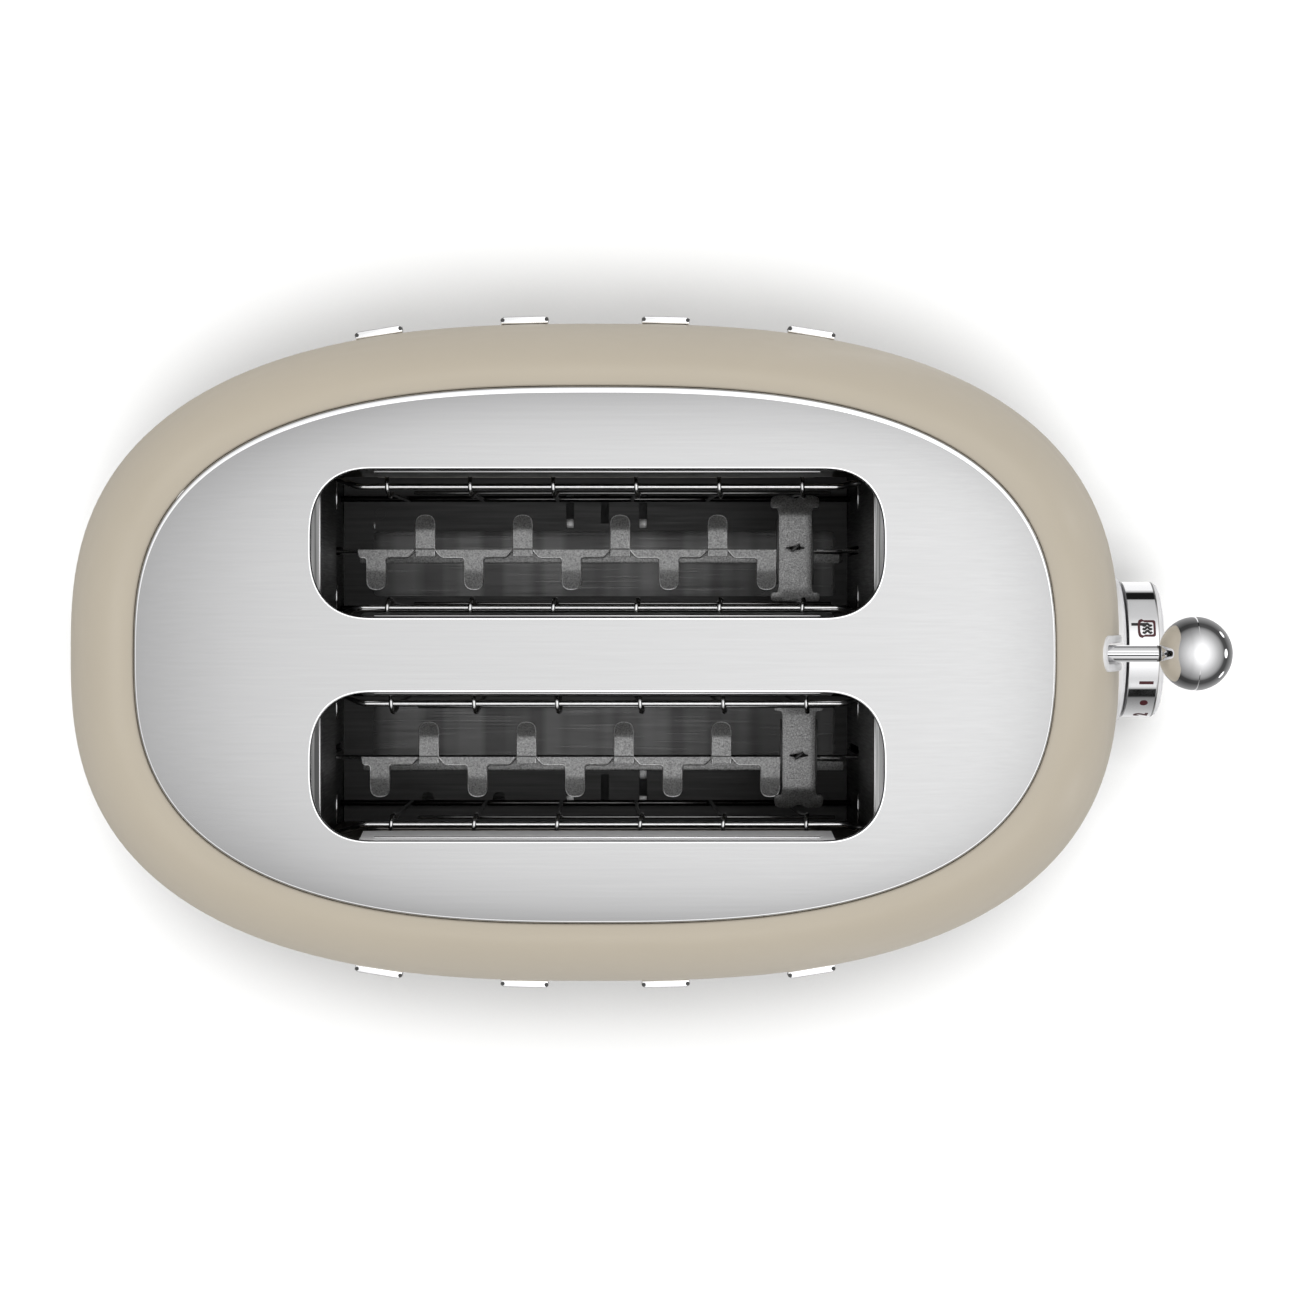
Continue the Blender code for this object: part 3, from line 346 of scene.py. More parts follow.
class Look:
    """A Principled material with procedural variation; distances in its textures are in millimetres."""

    def __init__(self, name, colour, roughness, metallic=0.0, **sockets):
        self.material = bpy.data.materials.new(name)
        self.material.use_nodes = True
        self.tree = self.material.node_tree
        self.shader = self.tree.nodes["Principled BSDF"]
        self.shader.inputs["Base Color"].default_value = (*colour, 1)
        self.shader.inputs["Roughness"].default_value = roughness
        self.shader.inputs["Metallic"].default_value = metallic
        for socket, value in sockets.items():
            self.shader.inputs[socket.replace("_", " ")].default_value = value
        self.place = self.tree.nodes.new("ShaderNodeTexCoord")
        self.colour = colour

    def node(self, kind, **settings):
        made = self.tree.nodes.new(kind)
        for key, value in settings.items():
            if key in made.inputs:
                made.inputs[key].default_value = value
            else:
                setattr(made, key, value)
        return made

    def wire(self, start, end):
        self.tree.links.new(start, end)

    def noise(self, size, stretch=(1, 1, 1), detail=2.0, rough=0.5):
        """Noise whose blotches are about size millimetres across, drawn out along the axes."""
        mapping = self.node("ShaderNodeMapping")
        mapping.inputs["Scale"].default_value = [1000 / size / s for s in stretch]
        self.wire(self.place.outputs["Object"], mapping.inputs["Vector"])
        noise = self.node("ShaderNodeTexNoise", Scale=1.0, Detail=detail, Roughness=rough)
        self.wire(mapping.outputs["Vector"], noise.inputs["Vector"])
        return noise.outputs["Fac"]

    def ranged(self, value, low, high, start=0.3, end=0.7):
        return map_range(self.tree, value, low, high, start, end)

    def tint(self, value, low, high, start=0.3, end=0.7):
        """Base colour that runs from low times the colour to high times it."""
        mix = self.node("ShaderNodeMix", data_type="RGBA")
        mix.inputs[6].default_value = (*[min(1, c * low) for c in self.colour], 1)
        mix.inputs[7].default_value = (*[min(1, c * high) for c in self.colour], 1)
        self.wire(self.ranged(value, 0, 1, start, end), mix.inputs[0])
        self.wire(mix.outputs[2], self.shader.inputs["Base Color"])
        return self

    def wear(self, value, low, high, start=0.3, end=0.7):
        self.wire(self.ranged(value, low, high, start, end), self.shader.inputs["Roughness"])
        return self

    def bump(self, value, strength, depth):
        bump = self.node("ShaderNodeBump", Strength=strength, Distance=depth)
        self.wire(value, bump.inputs["Height"])
        self.wire(bump.outputs["Normal"], self.shader.inputs["Normal"])
        return self


EVEN = (1, 1, 1)


def finish(name, colour, roughness, metallic, tint, wear=None, bump=None, **sockets):
    """A material whose tint, wear and bump are each given as a noise and what the noise drives."""
    if isinstance(colour, float):
        colour = (colour, colour, colour)
    look = Look(name, colour, roughness, metallic, **sockets)
    look.tint(look.noise(*tint[0]), *tint[1:])
    if wear:
        look.wear(look.noise(*wear[0]), *wear[1:])
    if bump:
        look.bump(look.noise(*bump[0]), *bump[1:])
    return look.material


def make_chrome(name="chrome", roughness=0.035, colour=(0.84, 0.84, 0.85)):
    wear = ((6, EVEN, 4, 0.6), roughness * 0.7, roughness * 1.6)
    return finish(name, colour, roughness, 1.0, ((14,), 0.985, 1.01), wear)


def make_wire(name="guard_wire", tone=0.78):
    return finish(name, tone, 0.16, 1.0, ((1.2, EVEN, 3), 0.9, 1.03), ((2.5, EVEN, 3), 0.12, 0.24))


def make_zinc(name="carriage_steel", tone=0.36):
    tint = ((0.45, EVEN, 2, 0.7), 0.55, 1.5)
    return finish(name, tone, 0.42, 0.85, tint, ((0.5,), 0.36, 0.52), ((0.28,), 0.30, 0.00005))


def make_chassis(name="chassis_steel", tone=0.075, stretch=(40, 1, 1)):
    wear, bump = ((0.4, stretch, 3), 0.32, 0.45), ((0.35, stretch, 2), 0.12, 0.00002)
    return finish(name, tone, 0.38, 0.9, ((1.1, stretch, 3), 0.85, 1.15), wear, bump)


def make_silver(name="satin_silver", tone=0.74):
    """A satin silver finish, much lighter and duller than the chrome."""
    colour = (tone, tone, tone + 0.01)
    return finish(name, colour, 0.38, 0.25, ((5, EVEN, 3), 0.96, 1.03), ((2, EVEN, 3), 0.30, 0.46))


def make_flange_steel(name, tone):
    """Sheet with strong brush marks along Y, pale or dark by the tone given."""
    tint = ((1.5, (1, 60, 1), 3, 0.6), 0.35, 1.35, 0.40, 0.60)
    wear, bump = ((0.5, (1, 40, 1), 3), 0.30, 0.45), ((0.4, (1, 40, 1), 2), 0.15, 0.00002)
    return finish(name, tone, 0.36, 0.8, tint, wear, bump)


def make_plastic(name="black_plastic", colour=(0.022, 0.022, 0.023), roughness=0.5, grain=0.45):
    wear = ((4, EVEN, 3), roughness * 0.85, roughness * 1.15)
    return finish(name, colour, roughness, 0.0, ((25,), 0.9, 1.15), wear, ((grain,), 0.35, 0.00006))


def make_print(name, colour):
    return finish(name, colour, 0.45, 0.0, ((0.6,), 0.85, 1.15), ((1.0,), 0.4, 0.5))


FLOOR_TONE = 0.345
FLOOR_WHITE_RADIUS = 0.42
FLOOR_GREY_RADIUS = 1.3
FLOOR_FAR_TONE = 0.45
# Painted contact shadow on the floor: its colour is scaled down where ambient occlusion finds the object
# within this reach.
PAINTED_SHADOW_REACH = 0.07
PAINTED_SHADOW_TONE = 0.70
PAINTED_SHADOW_FULL_AT = 0.5
PAINTED_SHADOW_GONE_AT = 0.8


def make_floor_look():
    """A white sweep that turns grey away from the object, with a painted contact shadow: darker where
    ambient occlusion finds the object close.
    """
    look = Look("studio_floor", (FLOOR_TONE, FLOOR_TONE, FLOOR_TONE), 0.9)
    length = look.node("ShaderNodeVectorMath", operation="LENGTH")
    look.wire(look.place.outputs["Object"], length.inputs[0])
    look.tint(length.outputs["Value"], 1.0, FLOOR_FAR_TONE, FLOOR_WHITE_RADIUS, FLOOR_GREY_RADIUS)
    occlusion_for_painted_shadow = look.node("ShaderNodeAmbientOcclusion", Distance=PAINTED_SHADOW_REACH)
    painted_shadow_colour = look.node("ShaderNodeVectorMath", operation="SCALE")
    look.wire(look.shader.inputs["Base Color"].links[0].from_socket, painted_shadow_colour.inputs[0])
    painted_shadow_share = look.ranged(occlusion_for_painted_shadow.outputs["AO"], PAINTED_SHADOW_TONE, 1.0, PAINTED_SHADOW_FULL_AT, PAINTED_SHADOW_GONE_AT)
    look.wire(painted_shadow_share, painted_shadow_colour.inputs["Scale"])
    look.wire(painted_shadow_colour.outputs["Vector"], look.shader.inputs["Base Color"])
    return look.material


POLISHED = make_chrome("polished_edge", 0.06, (0.97, 0.97, 0.975))
# One flange steel in two tones: the front copy is painted light, the rear copy painted shade.
FLANGE_PAINTED_LIGHT_AND_SHADE = {
    1: make_flange_steel("front_flange_painted_light", 0.62),
    -1: make_flange_steel("rear_flange_painted_shade", 0.32),
}
SILVER = make_silver()
# A pale copy of the satin silver: painted light on one chute panel.
PANEL_PAINTED_LIGHT = make_silver("panel_painted_light", 0.97)
PAINT = finish(
    "shell_paint",
    (0.455, 0.405, 0.325),
    0.42,
    0.0,
    tint=((60, EVEN, 3), 0.985, 1.015),
    wear=((9, EVEN, 3), 0.37, 0.43),
    bump=((0.9, EVEN, 1), 0.10, 0.00004),
    Specular_IOR_Level=0.5,
    Coat_Weight=0.12,
    Coat_Roughness=0.25,
)
TOP_STEEL = finish(
    "polished_steel",
    (0.505, 0.505, 0.508),
    0.24,
    1.0,
    tint=((1.0, (60, 1, 1), 3), 0.985, 1.01),
    wear=((0.35, (50, 1, 1), 3), 0.19, 0.25),
    bump=((0.25, (60, 1, 1), 2), 0.05, 0.00001),
)
CHROME = make_chrome()
BALL_CHROME = make_chrome("ball_chrome", 0.03)
WIRE = make_wire()
# A darker copy of the guard wire: painted shade on the wires deep in the chamber.
WIRE_PAINTED_SHADE = make_wire("lower_wire", 0.30)
ZINC = make_zinc()
# A darker copy of the zinc for the rail's web, foot and ledge: painted shade.
ZINC_PAINTED_SHADE = make_zinc("rail_web_painted_shade", 0.26)
# A near-white copy of the zinc for fine beads along the rail's edges: painted highlights.
ZINC_PAINTED_HIGHLIGHT = make_zinc("edge_painted_highlight", 0.98)
CHASSIS = make_chassis()
CHASSIS_UPRIGHT = make_chassis("end_plate_steel", 0.05, (1, 1, 40))
# A pale copy of the chassis steel: painted light on small ledges and floor tabs.
CHASSIS_PAINTED_LIGHT = make_chassis("chassis_painted_light", 0.80, (1, 20, 1))
TRAY_STEEL = finish(
    "tray_steel",
    0.17,
    0.34,
    1.0,
    tint=((10, (1, 40, 1), 1), 0.75, 1.2, 0.42, 0.58),
    wear=((0.5, (60, 1, 1), 3), 0.26, 0.38),
    bump=((0.3, (60, 1, 1), 2), 0.15, 0.00002),
)
MICA = finish(
    "mica",
    (0.13, 0.12, 0.105),
    0.5,
    0.0,
    tint=((2.2, (3, 1, 1), 5, 0.75), 0.55, 1.3),
    wear=((1.5, EVEN, 3), 0.38, 0.62),
    bump=((1.8, (3, 1, 1), 4), 0.2, 0.0001),
)
RIBBON = finish(
    "heating_ribbon",
    (0.36, 0.34, 0.32),
    0.35,
    1.0,
    tint=((3.0, EVEN, 3), 0.75, 1.2),
    wear=((2.0, EVEN, 3), 0.28, 0.45),
)
BLACK = make_plastic()
RUBBER = make_plastic("rubber", (0.018, 0.018, 0.018), 0.75, 0.7)
COPPER = finish(
    "copper",
    (0.62, 0.27, 0.12),
    0.3,
    1.0,
    tint=((0.5, (40, 40, 1), 2), 0.6, 1.2),
    bump=((0.4, (60, 60, 1), 1), 0.6, 0.0002),
)
BOARD = finish(
    "circuit_board",
    (0.015, 0.11, 0.045),
    0.35,
    0.0,
    tint=((1.6, (1, 6, 1), 2), 0.6, 1.5, 0.45, 0.55),
    bump=((1.6, (1, 6, 1), 2), 0.2, 0.00005),
    Coat_Weight=0.3,
)
MAROON = make_print("maroon_print", (0.055, 0.006, 0.010))
INK = make_print("black_print", (0.010, 0.010, 0.010))


# ---- Outer body ----------------------------------------------------------------------------------------


def oval(half_x, half_y, power=SIDE_POWER, count=OVAL_POINTS):
    """A superellipse about the body's middle, with its points evenly spaced by angle of the circle."""
    points = []
    for i in range(count):
        t = 2 * math.pi * i / count
        c, s = math.cos(t), math.sin(t)
        k = (abs(c) ** power + abs(s) ** power) ** (-1 / power)
        points.append((MIDDLE_X + half_x * c * k, half_y * s * k))
    return points


def ring_at(outline, z):
    return [(x, y, z) for x, y in outline]


def shell_section(z, inside_by=0.0):
    """Half length and half width of the painted shell at a height on its side or shoulder."""
    if z <= SHOULDER_START:
        share = (z - SHELL_BOTTOM) / (SHOULDER_START - SHELL_BOTTOM)
        inset = BASE_TAPER * (1 - math.sin(math.pi / 2 * share)) + inside_by
        return BODY_HALF_X - inset, BODY_HALF_Y - inset
    cosine = math.sqrt(max(0.0, 1 - ((z - SHOULDER_START) / (SHOULDER_RISE - inside_by)) ** 2))
    half_x = BODY_HALF_X - SHOULDER_INSET_X + (SHOULDER_INSET_X - inside_by) * cosine
    half_y = BODY_HALF_Y - SHOULDER_INSET_Y + (SHOULDER_INSET_Y - inside_by) * cosine
    return half_x, half_y


def shell_ring(z, inside_by=0.0):
    share = max(0.0, (z - SHOULDER_START) / SHOULDER_RISE)
    power = SIDE_POWER + (TOP_POWER - SIDE_POWER) * share
    return ring_at(oval(*shell_section(z, inside_by), power), z)


def shell_levels(inside_by, side_steps, shoulder_steps):
    rise = SHOULDER_RISE - inside_by
    side = [SHELL_BOTTOM + (SHOULDER_START - SHELL_BOTTOM) * i / side_steps for i in range(side_steps)]
    angles = [SHOULDER_END * i / shoulder_steps for i in range(shoulder_steps + 1)]
    return side + [SHOULDER_START + rise * math.sin(angle) for angle in angles]


RIM_LOW, RIM_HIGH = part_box("lever_slot_rim")
RIM_WIDTH = 0.0017
LEVER_SLOT_HALF = (RIM_HIGH.y - RIM_LOW.y) / 2 - RIM_WIDTH
LEVER_SLOT_LOW = RIM_LOW.z + RIM_WIDTH
LEVER_SLOT_HIGH = RIM_HIGH.z - RIM_WIDTH


def racetrack(grow=0.0, arc_steps=14, side_steps=24):
    """The lever slot's outline, as (y, z) points, grown outwards."""
    radius = LEVER_SLOT_HALF + grow
    low, high = LEVER_SLOT_LOW + LEVER_SLOT_HALF, LEVER_SLOT_HIGH - LEVER_SLOT_HALF
    arc = [math.pi * i / arc_steps for i in range(arc_steps + 1)]
    rise = [low + (high - low) * i / side_steps for i in range(1, side_steps)]
    upper = [(radius * math.cos(a), high + radius * math.sin(a)) for a in arc]
    lower = [(-radius * math.cos(a), low - radius * math.sin(a)) for a in arc]
    return upper + [(-radius, z) for z in reversed(rise)] + lower + [(radius, z) for z in rise]


def make_shell():
    outer = [shell_ring(z) for z in shell_levels(0.0, 16, 40)]
    inner = [shell_ring(z, SHELL_WALL) for z in shell_levels(SHELL_WALL, 8, 20)][::-1]
    edge_z = SHOULDER_START + SHOULDER_RISE * math.sin(SHOULDER_END)
    half_x, half_y = shell_section(edge_z)
    lip = []
    for inward, drop in ((0.0002, 0.00003), (0.0004, 0.00018), (0.0005, 0.00045), (0.0005, 0.0009)):
        lip.append(ring_at(oval(half_x - inward, half_y - inward, TOP_POWER), edge_z - drop))
    shell = add_object("painted_shell", *loft([*outer, *lip, *inner], closed=True))
    near, far = MIDDLE_X + 0.12, MIDDLE_X + 0.165
    slot = prism(racetrack(RIM_WIDTH * 0.7, 14, 2), "X", near, far)
    hole = prism(circle(0, DIAL_Z, COLLAR_HIGH.z - DIAL_Z - 0.0006, 96), "X", near, far)
    cut(shell, slot, hole)
    show(shell, "body", PAINT, "shell_paint", "body_shell", smooth=30)


def dome_share(x, y, half_x, half_y):
    return ((abs(x - MIDDLE_X) / half_x) ** TOP_POWER + (abs(y) / half_y) ** TOP_POWER) ** (1 / TOP_POWER)


DOME_RISE = 0.0004
DOME_SHOULDER = 0.0031
DOME_POWER = 8


def dome_drop(share):
    """How far the steel top lies below its crown: a shallow dome that rolls over near its edge."""
    return DOME_RISE * share**2 + DOME_SHOULDER * share**DOME_POWER


def slot_outline(side, grow=0.0, corner_steps=20, side_steps=24):
    """A bread slot's rounded outline, as (x, y) points."""
    half_x, half_y = SLOT_HALF_X + grow, SLOT_HALF_Y + grow
    corner_x, corner_y = SLOT_CORNER_X + grow, SLOT_CORNER_Y + grow
    corner = []
    for k in range(corner_steps + 1):
        a = math.pi / 2 * k / corner_steps
        c, s = math.cos(a), math.sin(a)
        scale = (c**SLOT_POWER + s**SLOT_POWER) ** (-1 / SLOT_POWER)
        corner.append((half_x - corner_x + corner_x * c * scale, half_y - corner_y + corner_y * s * scale))
    top_left = [(-x, y) for x, y in reversed(corner)]
    bottom_left = [(-x, -y) for x, y in corner]
    bottom_right = [(x, -y) for x, y in reversed(corner)]
    reach = corner[-1][0]
    run = [reach - 2 * reach * i / side_steps for i in range(1, side_steps)]
    upper = [(x, half_y) for x in run]
    lower = [(-x, -half_y) for x in run]
    loop = corner + upper + top_left + bottom_left + lower + bottom_right
    return [(SLOT_MIDDLE_X + x, y + side * SLOT_CENTRE) for x, y in loop]


def top_surface():
    """Half sizes of the steel top's edge, and its height at a place."""
    edge_z = SHOULDER_START + SHOULDER_RISE * math.sin(SHOULDER_END)
    half_x, half_y = (half - TOP_GAP for half in shell_section(edge_z))

    def surface_z(x, y):
        return TOP_Z - dome_drop(min(1, dome_share(x, y, half_x - 0.0006, half_y - 0.0006)))

    return half_x, half_y, surface_z


def rim_width(y, half_y):
    """The polished rim is widest on the left side."""
    return 0.0006 + 0.0011 * max(0.0, y / half_y) ** 1.5


RIM_SECTION = ((0.0005, -0.0001), (0.0002, 0.0001), (0.0, 0.0006), (0.0, 0.0070), (0.0006, 0.0070))
LIP_SECTION = (
    (0.0003, 0.0009),
    (0.0001, -0.0001),
    (-0.0002, -0.0001),
    (-0.0004, 0.0001),
    (-0.0005, 0.0004),
    (-0.0005, 0.0016),
    (-0.0001, 0.0016),
)


TOP_ROWS = (0.993, 0.985, 0.976, 0.966, 0.955, 0.943, 0.93, 0.915, 0.90, 0.88)
TOP_STEP = 0.004
TOP_GRID_SHARE = 0.855


def make_top_plate():
    """The bright steel top: a brushed sheet between a polished rim and the two slots' rolled lips."""
    half_x, half_y, surface_z = top_surface()
    outline = []
    for x, y in oval(half_x, half_y, TOP_POWER, RIM_POINTS):
        width = rim_width(y, half_y)
        outline.append((MIDDLE_X + (x - MIDDLE_X) * (1 - width / half_x), y * (1 - width / half_y)))
    slots = [slot_outline(side) for side in (1, -1)]
    guard = [slot_outline(side, 0.0012) for side in (1, -1)]
    inner = [(MIDDLE_X + (x - MIDDLE_X) * share, y * share) for share in TOP_ROWS for x, y in outline]
    step = TOP_STEP
    reach_x, reach_y = int(half_x / step), int(half_y / step)
    for i in range(-reach_x, reach_x + 1):
        for j in range(-reach_y, reach_y + 1):
            x, y = MIDDLE_X + (i + 0.5 * (j % 2)) * step, j * step
            point = Vector((x, y))
            clear = not any(inside(point, loop) for loop in guard)
            if dome_share(x, y, half_x, half_y) < TOP_GRID_SHARE and clear:
                inner.append((x, y))
    flat, faces = sheet_fill(outline, slots, inner)
    plate = add_object("steel_top", [(p.x, p.y, surface_z(p.x, p.y)) for p in flat], faces, smooth=0)
    add_modifier(plate, "SOLIDIFY", thickness=0.0006, offset=-1)
    settle(plate)
    show(plate, "body", TOP_STEEL, "polished_steel", "top_plate", smooth=50)

    inside_edge = [(x, y, surface_z(x, y)) for x, y in outline]
    rings = []
    for drop in (0.0009, -0.0001):
        rings.append([(x, y, z - drop) for x, y, z in inside_edge])
    for inward, drop in RIM_SECTION:
        loop = oval(half_x - inward, half_y - inward, TOP_POWER, RIM_POINTS)
        rings.append([(x, y, inside_edge[i][2] - drop) for i, (x, y) in enumerate(loop)])
    rim = add_object("polished_rim", *loft(rings, closed=True), smooth=40)
    show(rim, "body", POLISHED, "polished_steel")

    lips = []
    for side in (1, -1):
        outer = slot_outline(side)
        heights = [surface_z(x, y) for x, y in outer]
        rings = []
        for grow, drop in LIP_SECTION:
            loop = slot_outline(side, grow)
            rings.append([(x, y, z - drop) for (x, y), z in zip(loop, heights)])
        lips.append(loft(rings, closed=True))
    lip = add_object("slot_lips", *merge(*lips), smooth=40)
    show(lip, "body", POLISHED, "polished_steel")
    make_chutes(surface_z)


CHUTE_SHEET = 0.0006
CHUTE_LEAN = 0.0013
CHUTE_START = 0.187
END_WALL_X = 0.0774
END_WALL_BOTTOM = 0.130
FLANGE_Z = 0.1885
FLANGE_HALF = 0.0178
DASH_START = 0.0112
DASH_END = 0.0196


def chute_side(side, out, surface_z):
    """A long panel that hangs from the lip, then leans in towards the bread, and the bead at its bend."""
    reach = SLOT_HALF_X - 0.0135
    edge = SLOT_HALF_Y - 0.0002
    section = [
        (edge, surface_z(SLOT_MIDDLE_X, side * SLOT_CENTRE + out * edge) - 0.0012),
        (edge - 0.0002, CHUTE_START),
        (edge - CHUTE_LEAN, TOP_BOTTOM),
    ]
    section = [p.to_tuple() for p in fillet(section, 0.0015, 4, closed=False)]
    loop = [(side * SLOT_CENTRE + out * p.x, p.y) for p in stroke(section, CHUTE_SHEET)]
    panel = prism(loop, "X", SLOT_MIDDLE_X - reach, SLOT_MIDDLE_X + reach)
    bead_y = side * SLOT_CENTRE + out * (edge - 0.0006)
    ends = [(SLOT_MIDDLE_X + sign * (reach - 0.004), bead_y, CHUTE_START + 0.001) for sign in (-1, 1)]
    return panel, tube(ends, 0.0003, 10)


def make_chutes(surface_z):
    """The walls under each slot: long leaning panels, one of them painted light, and at both ends a flange
    over a dark wall, the front flanges painted light and the rear ones painted shade.
    """
    dark, bright, beads, walls = [], [], [], []
    flanges = {1: [], -1: []}
    for side in (1, -1):
        middle = side * SLOT_CENTRE
        for out in (1, -1):
            panel, bead = chute_side(side, out, surface_z)
            # The right slot's outer panel takes the pale copy, painted light; the other panels stay dark
            # steel.
            (bright if (side, out) == (-1, -1) else dark).append(panel)
            beads.append(bead)
        for fore in (1, -1):
            wall = SLOT_MIDDLE_X + fore * END_WALL_X
            back = SLOT_MIDDLE_X + fore * (SLOT_HALF_X + 0.0002)
            strip_path = fillet([(back, FLANGE_Z + 0.0014), (wall, FLANGE_Z)], 0.0008, 5, closed=False)
            folded = stroke([p.to_tuple() for p in strip_path], CHUTE_SHEET)
            flanges[fore].append(prism(folded, "Y", middle - FLANGE_HALF, middle + FLANGE_HALF))
            x0, x1 = sorted((wall, wall - fore * CHUTE_SHEET))
            wall_low = (x0, middle - FLANGE_HALF, END_WALL_BOTTOM)
            walls.append(block(wall_low, (x1, middle + FLANGE_HALF, FLANGE_Z - CHUTE_SHEET)))
            edge_x = wall - fore * 0.0002
            ends = [(edge_x, middle + sign * FLANGE_HALF, FLANGE_Z) for sign in (-1, 1)]
            beads.append(tube(ends, 0.00028, 8))
            for out in (1, -1):
                dash_x = wall - fore * 0.0007
                dash = [(dash_x, middle + out * y, END_WALL_BOTTOM) for y in (DASH_START, DASH_END)]
                beads.append(tube(dash, 0.0002, 8))
    show_all("chute_sides", dark, "body", CHASSIS, "chassis_steel")
    show_all("chute_side_painted_light", bright, "body", PANEL_PAINTED_LIGHT, "chassis_steel")
    show_all("chute_edges", beads, "body", POLISHED, "polished_steel", smooth=60)
    for fore, name in ((1, "front"), (-1, "rear")):
        show_all(f"chute_flanges_{name}", flanges[fore], "body", FLANGE_PAINTED_LIGHT_AND_SHADE[fore], "chassis_steel")
    show_all("chute_ends", walls, "body", CHASSIS_UPRIGHT, "chassis_steel")


TRAY_NOTCH_HALF = 0.052
GLAND_HOLE = 0.0053
SCREW_HOLE = 0.0019
VENT_ROWS = 5
VENT_PITCH = 0.009
VENT_HALF = 0.0013


def make_base():
    """The bright band and the moulded bottom, both notched for the tray's grip."""
    base_x, base_y = shell_section(SHELL_BOTTOM)
    low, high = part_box("base_trim")
    notch_low = (low.x - 0.01, -TRAY_NOTCH_HALF, 0.008)
    notch = block(notch_low, (low.x + 0.045, TRAY_NOTCH_HALF, 0.030))
    section = [
        (-0.0030, low.z),
        (-0.0015, low.z),
        (0.0000, low.z + 0.0004),
        (0.0005, low.z + 0.0016),
        (0.0005, high.z - 0.0014),
        (0.0002, high.z - 0.0004),
        (-0.0006, high.z),
        (-0.0030, high.z),
    ]
    rings = [ring_at(oval(base_x + out, base_y + out), z) for out, z in fillet(section, 0.0003, 3)]
    band = add_object("base_band", *loft(rings, closed=True))
    cut(band, notch)
    show(band, "body", CHROME, "chrome", "base_trim", smooth=40)

    low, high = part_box("base_pan")
    floor = low.z + 0.0022
    section = [
        (-0.0130, floor),
        (-0.0056, floor),
        (-0.0054, high.z),
        (-0.0033, high.z),
        (-0.0033, low.z + 0.0006),
        (-0.0039, low.z),
        (-0.0110, low.z),
        (-0.0118, low.z + 0.0008),
        (-0.0130, low.z + 0.0008),
    ]
    walls = loft([ring_at(oval(base_x + out, base_y + out), z) for out, z in section])
    pan = add_object("bottom_moulding", *walls)
    gland = middle_of("cord_gland")
    cutters = [notch, prism(circle(gland.x, gland.y, GLAND_HOLE), "Z", 0, 0.02)]
    for row in range(-VENT_ROWS, VENT_ROWS + 1):
        x = MIDDLE_X + row * VENT_PITCH
        near, far = x - VENT_HALF, x + VENT_HALF
        slit = fillet([(near, 0.012), (far, 0.012), (far, 0.040), (near, 0.040)], VENT_HALF)
        for side in (1, -1):
            cutters.append(prism([(u, side * v) for u, v in slit], "Z", 0, 0.02))
    for x, y in base_screw_places():
        cutters.append(prism(circle(x, y, SCREW_HOLE, 20), "Z", 0, 0.02))
    cut(pan, *cutters)
    show(pan, "body", BLACK, "black_plastic", "base_pan", smooth=35)


CORNERS = ("front_left", "front_right", "rear_left", "rear_right")


def base_screw_places():
    return [tuple(middle_of(f"base_screw_{name}").xy) for name in CORNERS]


def make_feet_and_screws():
    for name in CORNERS:
        low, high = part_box(f"foot_{name}")
        x, y = (low.x + high.x) / 2, (low.y + high.y) / 2
        profile = [(0.0, 0.0012), (0.0035, 0.0012), (0.0040, 0.0), (0.0070, 0.0)]
        profile += [(0.0079, 0.0008), (0.0090, high.z), (0.0, high.z)]
        profile = fillet(profile, 0.0006, 4, closed=False)
        foot = add_object(f"rubber_foot_{name}", *upright_turned(profile, x, y))
        show(foot, "body", RUBBER, "rubber", f"foot_{name}")

        low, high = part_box(f"base_screw_{name}")
        x, y = (low.x + high.x) / 2, (low.y + high.y) / 2
        head = low.z + 0.0016
        profile = [(0.0, low.z), (0.0017, low.z), (0.0032, head - 0.0002), (0.0032, head)]
        profile += [(0.0015, head), (0.0015, high.z), (0.0, high.z)]
        screw = add_object(f"screw_{name}", *upright_turned(profile, x, y, 32))
        slit = 0.0005
        cross = [block((x - 0.0016, y - slit, 0), (x + 0.0016, y + slit, low.z + 0.0009))]
        cross.append(block((x - slit, y - 0.0016, 0), (x + slit, y + 0.0016, low.z + 0.0009)))
        cut(screw, *cross)
        show(screw, "body", CHASSIS, "chassis_steel", f"base_screw_{name}")


